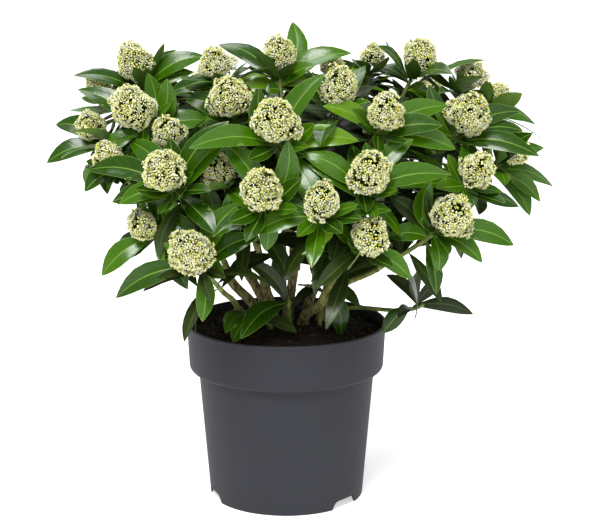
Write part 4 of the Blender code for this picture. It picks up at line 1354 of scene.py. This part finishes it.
LEAF_COLUMNS, TOP_COLUMNS, RIB_COLUMNS = 11, 8, (3, 4)
BLADE, LINE, UNDER = 0, 1, 2


def leaf_faces():
    """A leaf's faces and their kinds. A row's corners run from edge to edge over the upper side,
    and then back under it."""
    faces, kinds = [], []
    rows = len(LEAF_ROWS)
    strips = [LINE, BLADE, BLADE, LINE, BLADE, BLADE, LINE] + [UNDER] * 4
    ring = [0, 1, 2, 3, 4, 5, 6, 7, 10, 9, 8]
    tip = rows * LEAF_COLUMNS
    for row in range(rows):
        here = row * LEAF_COLUMNS
        for k, kind in enumerate(strips):
            a, b = here + ring[k], here + ring[(k + 1) % LEAF_COLUMNS]
            if row < rows - 1:
                faces.append((a, b, b + LEAF_COLUMNS, a + LEAF_COLUMNS))
            else:
                faces.append((a, b, tip))
            kinds.append(kind)
    faces.append(tuple(ring[::-1]))
    kinds.append(UNDER)
    return faces, np.array(kinds)


def in_painted_shade(leaf, mass):
    """Whether a leaf hangs in the crown's shade over the compost, or high on one of the dark
    sprigs: such a leaf takes the dark, dull tint as painted shade.
    """
    middle = leaf.at(0.5)[0]
    if mass in DARK_SPRIGS:
        return leaf.at(1.0)[0].z > DARK_SPRIGS[mass]
    return not leaf.arch and middle.z < SHADE_HEIGHT and abs(middle.x) < SHADE_HALF_WIDTH


def leaf_skin(leaf, slimness, rng):
    """Corners of a leaf's fine skin, and each one's place on the blade: across, along, tint."""
    fold, curl = rng.uniform(*FOLD), rng.uniform(*CURL)
    twist, bow = math.radians(rng.uniform(*TWIST)), rng.uniform(*BOW)
    hook = rng.uniform(*HOOK) * leaf.length
    if leaf.arch:
        twist, bow = twist * 0.5, leaf.arch
    wave, phase, tint = rng.uniform(*WAVE), rng.uniform(0, 2 * math.pi), rng.random()
    corners, marks = [], []
    for share in LEAF_ROWS:
        point, along, upper = leaf.at(share)
        angle = twist * share
        side = leaf.side * math.cos(angle) + upper * math.sin(angle)
        over = upper * math.cos(angle) - leaf.side * math.sin(angle)
        point = point + leaf.side * (bow * leaf.length * math.sin(math.pi * share))
        past = max(0.0, (share - HOOK_FROM) / (1 - HOOK_FROM))
        point = point - leaf.upper * (hook * past**2)
        half = max(slimness * leaf.width / 2 * breadth(share), PETIOLE)
        margin = min(MARGIN_WIDTH, 0.3 * half)
        rib = min(RIB_HALF_WIDTH * (1.15 - 0.75 * share), 0.4 * half)
        ripple = wave * math.sin(2 * math.pi * WAVES * share + phase)
        outs = (-half, margin - half, -0.5 * half, -rib, rib, 0.5 * half, half - margin, half)
        for column, out in enumerate(outs + (-0.5 * half, 0.0, 0.5 * half)):
            u = abs(out) / half
            lift = half * (fold * u - curl * u * u + ripple * u * u)
            if column in RIB_COLUMNS:
                lift -= RIB_SUNK
            if column >= TOP_COLUMNS:
                lift -= LEAF_THICK if out else LEAF_THICK + 0.5 * rib
            corners.append(point + side * out + over * lift)
            marks.append((out / half, share, tint))
    corners.append(leaf.at(1.0)[0] - leaf.upper * hook)
    marks.append((0.0, 1.0, tint))
    return corners, marks


# The tints of a leaf's upper side: dark and light, gloss and roughness
LEAF_TINTS = {
    "deep": ((20, 50, 0), (40, 76, 0), 0.34, 0.14),
    "mid": ((36, 74, 0), (64, 106, 2), 0.34, 0.14),
    "bright": ((70, 110, 4), (104, 142, 16), 0.34, 0.14),
    # Old leaves wear the dull tint, and leaves in the crown's shade wear it as painted shade
    "dull": ((22, 36, 6), (42, 58, 16), 0.28, 0.24),
}


def leaf_finishes():
    """The upper sides by tint, then the lines and the undersides, each fresh, and dark for old
    leaves and for those in painted shade.
    """
    tops = [
        leaf_top(f"leaf_{tint}", srgb(*dark), srgb(*light), gloss, rough)
        for tint, (dark, light, gloss, rough) in LEAF_TINTS.items()
    ]
    return [
        *tops,
        plain_part("leaf_line_fresh", (92, 130, 34), (124, 156, 58)),
        plain_part("leaf_line_old_or_shaded", (50, 64, 30), (76, 90, 48)),
        leaf_under("leaf_under_fresh", srgb(70, 104, 30), srgb(100, 130, 50)),
        leaf_under("leaf_under_old_or_shaded", srgb(46, 58, 32), srgb(68, 80, 46)),
    ]


def dealt_tint(shoot_draw, order, rng):
    """Young leaves are mid green or brighter, and the old ones low on a shoot dark and dull."""
    draw = rng.random() + shoot_draw
    if order >= WHORL_LEAVES:
        return "dull" if draw < 1.0 else "deep"
    if draw < 0.55:
        return "deep"
    return "mid" if draw < 1.45 else "bright"


def finish_slots(tint, kinds):
    """The number of the finish of each face of a leaf."""
    tints = list(LEAF_TINTS)
    # Dull leaves, the old ones and those given painted shade, take the darker lines and undersides
    old_or_shaded = tint == "dull"
    first_line = len(tints)
    return np.choose(kinds, (tints.index(tint), first_line + old_or_shaded, first_line + 2 + old_or_shaded))


def make_leaves(shoots, rng, inner_rng):
    """One joined piece of leaves for each part of the plant. The leaves inside the crown draw
    from their own run of numbers."""
    faces, kinds = leaf_faces()
    heaps, nodes = {}, {}
    for shoot in shoots:
        nodes.setdefault(shoot.part, set()).add(shoot.mass)
        heap = heaps.setdefault(shoot.part, Heap())
        inner = [leaf for leaf in shoot.leaves if shoot.twig or leaf.order == INNER_ORDER]
        outer = [leaf for leaf in shoot.leaves if leaf not in inner]
        for leaves, draws in ((outer, rng), (inner, inner_rng)):
            if shoot.twig and not leaves:
                continue
            shoot_draw = draws.uniform(*SHOOT_TINT)
            for leaf in leaves:
                # A leaf in the crown's shade takes the dull tint and a slim blade: the dull tint
                # is painted shade there
                tint, old_or_shaded = dealt_tint(shoot_draw, leaf.order, draws), in_painted_shade(leaf, shoot.mass)
                tint = leaf.tint or ("dull" if old_or_shaded else tint)
                corners, marks = leaf_skin(leaf, SLIM_SHARE if old_or_shaded else BLADE_SHARE, draws)
                heap.add(corners, faces, finish_slots(tint, kinds), marks)
    finishes = leaf_finishes()
    for part, heap in heaps.items():
        heap.piece(f"leaves_{part}", finishes, "foliage", sorted(nodes[part]))


# Where a petal's draw passes from white to cream, to yellow and to green, and a bud's and an
# anther's from one finish to the next
PETAL_SHARES = (0.46, 0.64, 0.78)
GREEN_BUDS, AMBER_BUDS = 0.34, 0.87
OPEN_ANTHERS, CUP_ANTHERS = 0.40, 0.30
# How open a flower is: its own draw, its bunch's and a slow cloud over the head, each with its
# weight, less at the tip, whose flowers open last
OPEN_DRAW, OPEN_BUNCH, OPEN_CLOUD, TIP_LATER = 0.5, 0.3, 0.28, 0.08
IS_OPEN, IS_BUD = 0.22, 0.09
# A petal's tint follows its own draw and its flower's, and those of the tip are yellower
OWN_TINT, FLOWER_TINT, TIP_TINT = 0.55, 0.45, 0.08
PETALS = 4
# Shapes of single flowers, in millimetres, with Z out of the head
OPEN_RISE, CUP_RISE = 28.0, 56.0
# Each kind of flower piece's finishes: dark and light, roughness and gloss
FLOWER_FINISHES = {
    "petals": {
        "petal_white": ((252, 255, 218), (255, 255, 250), 0.45, 0.2),
        "petal_cream": ((250, 251, 158), (252, 255, 200), 0.45, 0.2),
        "petal_yellow": ((228, 226, 66), (242, 240, 122), 0.45, 0.2),
        "petal_green": ((150, 170, 34), (190, 204, 72), 0.45, 0.2),
    },
    "buds": {
        "bud_cream": ((250, 244, 160), (254, 252, 200), 0.45, 0.2),
        "bud_green": ((146, 162, 28), (186, 196, 60), 0.45, 0.2),
        "bud_amber": ((228, 196, 62), (240, 204, 70), 0.45, 0.2),
    },
    "stamens": {
        "anther_yellow": ((240, 228, 96), (250, 246, 166), 0.45, 0.2),
        "anther_white": ((254, 252, 210), (255, 255, 240), 0.45, 0.2),
    },
    "stalks": {
        # The flower stalks are darker than their own pale green: partly their colour, partly
        # painted shade in the gaps between the flowers
        "flower_stalk_and_shade": ((34, 50, 2), (58, 78, 8), 0.45, 0.05),
        # A head's heart is near black: painted shade in the gaps between the flowers
        "head_core_painted_shade": ((5, 10, 0), (14, 22, 0), 0.8, 0.0),
    },
}


def ray(turn):
    """The unit vector of a turn round Z."""
    return np.array((math.cos(turn), math.sin(turn), 0.0))


def petals(count, rise, length, width, thick=0.6):
    """Petals round Z that rise at an angle: each a slim kernel, widest past its middle."""
    corners, faces = [], []
    for k in range(count):
        out = ray(2 * math.pi * k / count)
        side = np.array((-out[1], out[0], 0.0))
        lift = math.radians(rise)
        way = out * math.cos(lift) + np.array((0, 0, math.sin(lift)))
        over = np.array((0, 0, math.cos(lift))) - out * math.sin(lift)
        foot = out * 0.6
        middle = foot + way * length * 0.58
        base = len(corners)
        left, right, tip = base + 1, base + 2, base + 3
        edge, lifted = side * width / 2, middle + over * thick
        corners += [foot, lifted + edge, lifted - edge, foot + way * length]
        faces += [(base, right, left), (tip, left, right), (base, left, tip), (base, tip, right)]
    return np.array(corners), faces


def bloom(head, way, share=1.0):
    """The point of a head's flowering skin along a unit direction from its middle."""
    reach = HEAD_BASE + TIP_SIZE * max(way.dot(head.tip), 0) ** 3
    reach += LUMP_SIZE * noise.noise(way * 1.9 + head.middle * 30)
    for trail, size in head.trails:
        reach += size * max(way.dot(trail), 0) ** TRAIL_SHARPNESS
    return head.middle.lerp(head.surface(way), reach * share)


def shape_head(head, rng):
    """Gives a head its upturned tip, and a few trailing bunches round its lower half."""
    head.tip = (head.axis + UP * TIP_RISE).normalized()
    head.trails = []
    for _ in range(TRAILS):
        turn = Matrix.Rotation(rng.uniform(0, 2 * math.pi), 3, head.tip)
        lean = rng.uniform(*TRAIL_LEAN)
        way = head.tip * lean + turn @ across_of(head.tip) * math.sqrt(1 - lean * lean)
        head.trails.append((way, rng.uniform(*TRAIL_SIZE)))


def stamens(count, spread, height, size=0.36):
    """Stamens between the petals, thin at the foot and thick at the anther."""
    corners, faces = [], []
    for k in range(count):
        out = ray(2 * math.pi * (k + 0.5) / count)
        base = len(corners)
        corners.append(out * 0.4)
        knee = out * spread * 0.8 + np.array((0, 0, height * 0.78))
        corners += [knee + ray(2 * math.pi * j / 3) * size for j in range(3)]
        corners.append(out * spread + np.array((0, 0, height)))
        for j in range(3):
            a, b = base + 1 + j, base + 1 + (j + 1) % 3
            faces += [(base, b, a), (base + 4, a, b)]
    return np.array(corners), faces


def rod(low, high, low_radius, high_radius, sides):
    """A small open-ended stalk along Z."""
    corners = [
        ray(2 * math.pi * k / sides) * radius + (0.0, 0.0, height)
        for height, radius in ((low, low_radius), (high, high_radius))
        for k in range(sides)
    ]
    faces = [(k, (k + 1) % sides, sides + (k + 1) % sides, sides + k) for k in range(sides)]
    return np.array(corners), faces


def bud(radius, height):
    """A closed flower: a small egg on its point."""
    shape = bmesh.new()
    bmesh.ops.create_uvsphere(shape, u_segments=6, v_segments=4, radius=1.0)
    for corner in shape.verts:
        x, y, z = corner.co
        swell = 1.0 - 0.18 * z
        corner.co = (x * radius * swell, y * radius * swell, (z + 0.8) * height / 2)
    return skin_of(shape)


def copies_of(template, places, frames, scales):
    """Copies of a template in millimetres at each place, turned to its frame and scaled."""
    turned_copies = np.einsum("cij,nj->cni", frames, np.array(template))
    return places[:, None, :] + turned_copies * (scales[:, None, None] * MM)


def any_way(rng):
    return Vector([rng.uniform(-1, 1) for _ in range(3)])


def spread_over(axis, count, skirt, jitter, rng):
    """Directions spread evenly round an axis, from its tip down to a skirt."""
    side = across_of(axis)
    other = axis.cross(side)
    start = rng.uniform(0, 2 * math.pi)
    ways = []
    for i in range(count):
        lean = 1 - (i + 0.5) * (1 - skirt) / count
        turn = start + i * GOLDEN_ANGLE
        ring = math.sqrt(1 - lean * lean)
        way = axis * lean + (side * math.cos(turn) + other * math.sin(turn)) * ring
        ways.append((way + any_way(rng) * jitter).normalized())
    return ways


def flower_plan(head, rng):
    """Places, outward frames, sizes and draws of a head's flowers: how open, which tint, and how
    near the head's tip."""
    area = 2 * math.pi * head.radius**2 * (1 - HEAD_SKIRT)
    bunches = spread_over(head.axis, round(area / BUNCH_PATCH), HEAD_SKIRT, BUNCH_JITTER, rng)
    bunches = [(way, rng.uniform(*BUNCH_RISES), rng.random()) for way in bunches]
    places, frames, scales, draws = [], [], [], []
    patch = any_way(rng) * 99
    ways = spread_over(head.axis, round(area / FLOWER_PATCH), HEAD_SKIRT, FLOWER_JITTER, rng)
    for way in ways:
        bunch, rise, age = max(bunches, key=lambda bunch: way.dot(bunch[0]))
        off = math.acos(min(1.0, way.dot(bunch))) * head.radius / BUNCH_RADIUS
        height = BUNCH_RISE * rise * (1 - off * off) + rng.uniform(*FLOWER_LIFTS) * MM
        out = (way + (way - bunch) * 1.2 + any_way(rng) * FLOWER_LEAN).normalized()
        spin = Matrix.Rotation(rng.uniform(0, 2 * math.pi), 3, out) @ across_of(out)
        frames.append([[spin[j], out.cross(spin)[j], out[j]] for j in range(3)])
        places.append(bloom(head, way) + way * (height - FLOWER_SUNK))
        scales.append(rng.uniform(*FLOWER_SIZES))
        cloud = noise.noise(way * 1.8 + patch)
        ripe = OPEN_DRAW * rng.random() + OPEN_BUNCH * age + OPEN_CLOUD * cloud
        draws.append((ripe, rng.random(), way.dot(head.axis)))
    return np.array(places), np.array(frames), np.array(scales), np.array(draws)


def flower_shapes():
    """The corners and faces of each shape that a flower is made of."""
    return {
        "open petals": petals(PETALS, OPEN_RISE, 3.4, 1.9),
        "cup petals": petals(PETALS, CUP_RISE, 3.1, 1.8),
        "bud": bud(1.15, 2.7),
        "open stamens": stamens(3, 1.3, 2.7, 0.45),
        "cup stamens": stamens(2, 0.6, 2.9, 0.45),
        "stalk": rod(-6.5, 0.3, 0.3, 0.45, 3),
    }


def head_pieces(head, rng):
    """The copies of a head's flowers: for each shape its kind, the flowers that have it, and the
    number of each one's finish, or of each of its petals' faces."""
    places, frames, scales, draws = flower_plan(head, rng)
    ripe, colour, lean = draws.T
    ripe = ripe - TIP_LATER * np.clip(lean * 2 - 1, 0, 1)
    is_open, is_bud = ripe > IS_OPEN, ripe < IS_BUD
    is_cup = ~is_open & ~is_bud
    dealt = np.random.default_rng(round(rng.random() * 1e6)).random((len(draws), PETALS))
    shared = FLOWER_TINT * colour + TIP_TINT * np.clip(lean, 0, 1)
    dealt = OWN_TINT * dealt + shared[:, None]
    petal_slots = np.repeat(np.digitize(dealt, PETAL_SHARES), 4, axis=1)
    bud_slots = np.where(colour < GREEN_BUDS, 1, np.where(colour < AMBER_BUDS, 0, 2))
    for shape, kind, chosen, slots in (
        ("open petals", "petals", is_open, petal_slots),
        ("cup petals", "petals", is_cup, petal_slots),
        ("bud", "buds", is_bud, bud_slots),
        ("open stamens", "stamens", is_open, np.where(colour < OPEN_ANTHERS, 0, 1)),
        ("cup stamens", "stamens", is_cup, np.where(colour < CUP_ANTHERS, 0, 1)),
        ("stalk", "stalks", scales > 0, np.zeros(len(draws), int)),
    ):
        if chosen.any():
            where = places[chosen], frames[chosen], scales[chosen]
            yield shape, kind, where, slots[chosen].reshape(chosen.sum(), -1)


def painted_shade_core(head):
    """The dark heart of a head: a lumpy ball that stands for its branching heart, near black as
    painted shade, which shows between its flowers.
    """
    def heart(way):
        lump = noise.noise(way * 4 + head.middle * 40)
        return bloom(head, way, CORE_SHARE + CORE_LUMP_SIZE * lump)

    return ball(3, heart)


def make_heads(shoots, rng):
    """The flower heads: petals, buds, stamens, and the stalks and hearts that carry them, the
    stalks darkened and the hearts near black as painted shade, each kind joined for each part of
    the plant."""
    shapes, heaps = flower_shapes(), {}
    for shoot in shoots:
        if not shoot.head:
            continue
        for kind in FLOWER_FINISHES:
            heaps.setdefault((kind, shoot.part), Heap())
        shape_head(shoot.head, rng)
        for shape, kind, where, slots in head_pieces(shoot.head, rng):
            corners, faces = shapes[shape]
            heaps[kind, shoot.part].add(copies_of(corners, *where), faces, slots)
        # Each head's heart, the stalks' second finish: painted shade
        heaps["stalks", shoot.part].add(*painted_shade_core(shoot.head), 1)
    finishes = {
        kind: [plain_part(name, *look) for name, look in looks.items()]
        for kind, looks in FLOWER_FINISHES.items()
    }
    for (kind, part), heap in heaps.items():
        nodes = sorted({shoot.mass for shoot in shoots if shoot.part == part})
        name = f"flower_{kind}_{part}"
        heap.piece(name, finishes[kind], "foliage", nodes, smooth=kind == "buds")


def limb_skin(points, radii, sides, relief):
    """A limb's corners and faces, with its bark's relief, closed by a flat face at either end.
    relief(distance, turns) gives the radius's factor, for turns from 0 to 1."""
    run, corners = 0.0, []
    turns = np.arange(sides) / sides
    frames = frames_along(tangents(points))
    for i, (point, radius, (side, other)) in enumerate(zip(points, radii, frames)):
        if i:
            run += (point - points[i - 1]).length
        reach = radius * relief(run, turns)
        around = np.outer(np.cos(2 * np.pi * turns), side)
        around += np.outer(np.sin(2 * np.pi * turns), other)
        corners.append(np.array(point) + around * reach[:, None])
    rings = len(points)
    faces = []
    for i in range(rings - 1):
        for k in range(sides):
            a, b = i * sides + k, i * sides + (k + 1) % sides
            faces.append((a, b, b + sides, a + sides))
    faces.append(tuple(range(sides))[::-1])
    faces.append(tuple((rings - 1) * sides + k for k in range(sides)))
    return np.concatenate(corners), faces


def bark_relief(rng, ridges, depth, scar_step, scar_size):
    """Ridges along a limb that wander, and the raised rings of old leaf scars."""
    seed = Vector([rng.uniform(-50, 50) for _ in range(3)])
    scar_phase = rng.random()

    def height(distance, angle):
        out = Vector((math.cos(angle), math.sin(angle), 0.0))
        wander = noise.noise((out + UP * distance * 22) * 1.3 + seed)
        crack = noise.noise(out * ridges * 0.5 + UP * distance * 60 + seed)
        scar = distance / scar_step + scar_phase
        nearness = abs(scar - round(scar)) * scar_step / SCAR_WIDTH
        facing = 0.5 + 0.5 * math.cos(angle - round(scar) * GOLDEN_ANGLE)
        return depth * (crack + 0.6 * wander) + scar_size * math.exp(-(nearness**2)) * facing

    def relief(distance, turns):
        return np.array([1.0 + height(distance, 2 * math.pi * turn) for turn in turns])

    return relief


def fine_route(route, radius_low, radius_high, flare=0.0, sunk=SUNK):
    """The smooth run of a limb, started inside what carries it, with its radii: it widens at the
    foot by flare, and closes in a round tip."""
    start, heading, end, arrival, swing = route
    steps = max(6, round((end - start).length * 1.06 / FINE_STEP))
    points = crossing(start, heading, end, arrival, steps, swing)
    count = len(points)
    radii = tapered(radius_low, radius_high, count)
    if flare:
        spans = [i * FINE_STEP / FLARE_HEIGHT for i in range(count)]
        radii = [radius * (1 + flare * math.exp(-span)) for radius, span in zip(radii, spans)]
    lead = max(2, round(sunk / FINE_STEP))
    points = [start - heading * sunk * (lead - i) / lead for i in range(lead)] + points
    radii = [radii[0]] * lead + radii
    for share in TIP_RINGS:
        points.append(end + arrival * radius_high * share)
        radii.append(radius_high * math.sqrt(1 - share * share))
    return points, radii


def make_wood(limbs, shoots, rng, inner_rng):
    """The stems, boughs and shoots, each kind joined into one piece."""
    stems, boughs, twigs = Heap(), Heap(), Heap()
    for node, route in limbs.items():
        if node.startswith("stem_"):
            run = fine_route(route, STEM_RADIUS, STEM_TIP_RADIUS * 1.12, FLARE - 1)
            relief = bark_relief(rng, *STEM_RELIEF)
            stems.add(*limb_skin(*run, FINE_SIDES["stem"], relief), 0)
        else:
            run = fine_route(route, BOUGH_RADIUS, BOUGH_TIP_RADIUS * 1.1)
            relief = bark_relief(rng, *BOUGH_RELIEF)
            boughs.add(*limb_skin(*run, FINE_SIDES["bough"], relief), 0)
    for shoot in shoots:
        sunk = SPRIG_SUNK if shoot.part == LOW_PART else SHOOT_SUNK
        route = list(shoot.route)
        if shoot.head:
            route[2] = tip_in_head(shoot)
        run = fine_route(route, SHOOT_RADIUS * SLIM, SHOOT_TIP_RADIUS * SLIM, 0.0, sunk)
        relief = bark_relief(inner_rng if shoot.twig else rng, *SHOOT_RELIEF)
        twigs.add(*limb_skin(*run, FINE_SIDES["shoot"], relief), 0)
    old_or_shaded = bark("stem_bark", srgb(64, 58, 30), srgb(136, 130, 82), 260.0, 0.9)
    young = bark("bough_bark", srgb(64, 68, 26), srgb(112, 116, 56), 220.0, 0.5)
    for heap, name, finish, kind in (
        (stems, "old_stems", old_or_shaded, "stem_"), (boughs, "boughs", young, "bough_"),
    ):
        heap.piece(name, [finish], "bark", [node for node in limbs if node.startswith(kind)])
    masses = sorted({shoot.mass for shoot in shoots})
    twigs.piece("green_shoots", [shoot_green()], "foliage", masses)


def rounded(profile, fillets, steps=5):
    """A profile with some corners, by number, turned into arcs of the given radii."""
    made = []
    for i, corner in enumerate(profile):
        if i not in fillets:
            made.append(corner)
            continue
        here = Vector(corner)
        to_last = (Vector(profile[i - 1]) - here).normalized()
        to_next = (Vector(profile[i + 1]) - here).normalized()
        half = to_last.angle(to_next) / 2
        cut = fillets[i] / math.tan(half)
        centre = here + (to_last + to_next).normalized() * (fillets[i] / math.sin(half))
        first, last = here + to_last * cut - centre, here + to_next * cut - centre
        for step in range(steps + 1):
            made.append(tuple(centre + first.slerp(last, step / steps) * fillets[i]))
    return made


def notch_cutter(number):
    """A wedge through the foot ring, narrower at its top, with its upper corners rounded."""
    shape = bmesh.new()
    bmesh.ops.create_cube(shape, size=1.0)
    bearing = math.radians(NOTCH_BEARING + number * 360 / NOTCH_COUNT)
    tops = [
        edge for edge in shape.edges
        if all(corner.co.z > 0 for corner in edge.verts)
        and abs(edge.verts[0].co.x - edge.verts[1].co.x) < 0.5
    ]
    bmesh.ops.bevel(
        shape, geom=tops, offset=0.22, segments=4, profile=0.5, affect="EDGES", material=-1
    )
    below = 2.0 * MM
    for corner in shape.verts:
        x, y, z = corner.co
        share = NOTCH_FOOT_SHARE + (NOTCH_TOP_SHARE - NOTCH_FOOT_SHARE) * (z + 0.5)
        turn = bearing + 2 * x * math.radians(NOTCH_HALF_ANGLE) * share
        radius = FOOT_RADIUS + y * 8 * WALL
        height = (z + 0.5) * (NOTCH_HEIGHT + below) - below
        corner.co = (radius * math.sin(turn), -radius * math.cos(turn), height)
    bmesh.ops.recalc_face_normals(shape, faces=shape.faces[:])
    return placed(f"notch_{number}", mesh_of(shape, "notch"))


def make_pot():
    """The nursery pot with round corners, its three feet cut out of the ring under it."""
    profile = [
        *outer_wall((COLLAR_RADIUS - 0.6 * MM, SHOULDER_HEIGHT + 0.6 * MM)),
        (RIM_RADIUS, POT_HEIGHT),
        (RIM_RADIUS - LIP_WIDTH - EDGE_ROUND, POT_HEIGHT),
        *inner_wall()[1:],
        (0.0, FLOOR_TOP),
    ]
    shape = turned(rounded(profile, POT_FILLETS), FINE_POT_SIDES)
    body = placed("uncut_pot", mesh_of(shape, "nursery_pot"))
    cutters = [notch_cutter(number) for number in range(NOTCH_COUNT)]
    for cutter in cutters:
        cut = body.modifiers.new(cutter.name, "BOOLEAN")
        cut.operation, cut.solver, cut.object = "DIFFERENCE", "EXACT", cutter
    bpy.context.view_layer.update()
    evaluated = body.evaluated_get(bpy.context.evaluated_depsgraph_get())
    finished = bpy.data.meshes.new_from_object(evaluated)
    for thing in (body, *cutters):
        bpy.data.objects.remove(thing, do_unlink=True)
    show("nursery_pot", finished, [pot_plastic()], ["pot"], crease=32)


def soil_height(radius):
    """The compost's own height at a distance from the axis."""
    top = soil_profile()[-4:]
    for (outer, low), (inner, high) in zip(top, top[1:]):
        if radius >= inner:
            return low + (high - low) * (outer - radius) / (outer - inner)
    return SOIL_TOP


def lumpy(x, y):
    """How far the compost's surface stands above its plain form."""
    spot = Vector((x, y, 0.0))
    coarse = noise.fractal(spot * 55, 0.9, 2.1, 3)
    fine = noise.fractal(spot * 260, 0.8, 2.1, 2)
    return (1.3 + 1.5 * coarse + 0.7 * fine) * MM


def crumb(corners, reach, rng):
    """The corners of one crumb or chip on the compost, and the number of its finish."""
    radius, turn = reach * math.sqrt(rng.random()), rng.uniform(0, 2 * math.pi)
    x, y = radius * math.cos(turn), radius * math.sin(turn)
    size = (0.7 + 2.3 * rng.random() ** 3) * MM
    chip = rng.random() < CHIP_SHARE
    stretch = CHIP_STRETCH if chip else Vector([rng.uniform(0.7, 1.2) for _ in range(3)])
    spin = Matrix.Rotation(rng.uniform(0, 2 * math.pi), 3, "Z")
    spin = spin @ Matrix.Rotation(rng.uniform(-0.6, 0.6), 3, "X")
    centre = Vector((x, y, soil_height(radius) + lumpy(x, y) + 0.35 * size))
    lump = [
        centre + spin @ (corner * stretch) * size * rng.uniform(0.75, 1.15) for corner in corners
    ]
    return lump, 2 if chip else rng.choice((0, 0, 0, 1))


def make_compost(rng):
    """The crumbly compost: a lumpy surface, and loose crumbs and chips of bark on it."""
    plain = soil_profile()
    edge = plain[-4][0]
    reaches = [edge * (1 - i / SOIL_RINGS) for i in range(SOIL_RINGS + 1)]
    top = [(reach, soil_height(reach)) for reach in reaches]
    shape = turned(plain[:-4] + top, FINE_SOIL_SIDES)
    for corner in shape.verts:
        radius = math.hypot(corner.co.x, corner.co.y)
        if corner.co.z > SOIL_EDGE - 1 * MM and radius < edge + 0.1 * MM:
            corner.co.z += lumpy(corner.co.x, corner.co.y)
    mesh = mesh_of(shape, "compost_bed")
    brown = mottled(
        "compost_brown", 0.2, (320.0, 6.0, 0.65), (16, 13, 9), (50, 40, 28), (0.85, 0.12),
        (0.8, 1.2 * MM), (0.35, 0.7),
    )
    show("compost_bed", mesh, [brown], ["compost"], crease=80)
    corners, faces = ball(1)
    crumbs = Heap()
    for _ in range(CRUMBS):
        lump, kind = crumb(corners, edge - CRUMB_MARGIN, rng)
        crumbs.add(lump, faces, kind)
    finishes = [
        crumb_finish("crumb_dark", (22, 17, 12), (46, 36, 26)),
        crumb_finish("crumb_brown", (34, 27, 19), (58, 46, 33)),
        crumb_finish("bark_chip", (52, 42, 30), (84, 70, 52)),
    ]
    crumbs.piece("compost_crumbs", finishes, "compost", ["compost"], smooth=False)


def aim_at(thing, place, aim):
    thing.location = place
    thing.rotation_euler = (aim - Vector(place)).to_track_quat("-Z", "Y").to_euler()


def lamp(name, kind, place, power, **sizes):
    """A lamp that points at the middle of the plant."""
    light = bpy.data.lights.new(name, kind)
    light.energy = power
    for key, value in sizes.items():
        setattr(light, key, value)
    aim_at(placed(name, light), place, LAMP_AIM)


def make_stage():
    """A white floor, a bright even room, and broad soft lamps."""
    shape = bmesh.new()
    bmesh.ops.create_grid(shape, x_segments=2, y_segments=2, size=60.0)
    mesh = mesh_of(shape, "floor")
    finish = Finish("floor_white", gloss=0.2)
    white = (1.0, 1.0, 1.0, 1.0)
    finish.feed(finish.shader.inputs["Emission Color"], white)
    finish.feed(finish.shader.inputs["Emission Strength"], FLOOR_GLOW)
    colour = finish.blend(finish.grain(3.0), srgb(226, 226, 226), srgb(232, 232, 232))
    mesh.materials.append(finish.wear(colour, 0.7))
    floor = placed("floor", mesh)
    floor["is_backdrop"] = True
    world = bpy.data.worlds.new("studio")
    world.use_nodes = True
    back = world.node_tree.nodes["Background"].inputs
    back["Color"].default_value, back["Strength"].default_value = white, ROOM_LIGHT
    bpy.context.scene.world = world
    lamp("key", "SUN", (-0.5, -1.6, 2.4), 3.3, angle=math.radians(24))
    lamp("fill", "SUN", (1.4, -1.6, 1.2), 0.6, angle=math.radians(60))
    lamp("sheen", "AREA", (-0.5, 0.6, 1.9), 12.0, shape="RECTANGLE", size=1.0, size_y=0.7)


def make_camera():
    """The camera that the photograph's own view of the pot gives."""
    lens = bpy.data.cameras.new("camera")
    lens.sensor_fit, lens.sensor_width, lens.lens = "HORIZONTAL", SENSOR, LENS
    camera = placed("camera", lens)
    aim_at(camera, CAMERA_PLACE, CAMERA_AIM)
    bpy.context.scene.camera = camera


def build():
    rng = random.Random(SEED)
    room = Room()
    for name, profile in (("pot", pot_profile()), ("compost", soil_profile())):
        room.add(name, skin_of(turned(profile, POT_SIDES)))
    plan = head_plan(rng)
    limbs, shoots = grow_limbs(plan, room, rng)
    shoots += grow_sprigs(room, rng)
    first_extra = WHORL_LEAVES + LOWER_LEAVES
    grow_marked(shoots, room)
    deal_whorls(shoots, range(first_extra), 0, room, rng, ())

    fine = random.Random(FINE_SEED)
    flowering = [shoot for shoot in shoots if shoot.head]
    extra_orders = range(first_extra, first_extra + EXTRA_LEAVES)
    deal_collars(flowering, room, fine)
    deal_whorls(flowering, extra_orders, EXTRA_LEAVES + 1, room, fine, FINE_EASE)
    inner = random.Random(INNER_SEED)
    twigs = grow_twigs(shoots, room, inner)
    high = [shoot for shoot in shoots if shoot.part != LOW_PART]
    deal_inner(high + twigs, room, inner)

    make_pot()
    make_compost(fine)
    make_wood(limbs, shoots + twigs, fine, inner)
    make_leaves(shoots + twigs, fine, inner)
    make_heads(shoots, fine)


make_camera()
make_stage()
build()
bpy.context.scene.view_settings.view_transform = "Standard"

boxes = {"cad": CAD_BOX, "scene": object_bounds()}
{name: [list(corner) for corner in box] for name, box in boxes.items()}
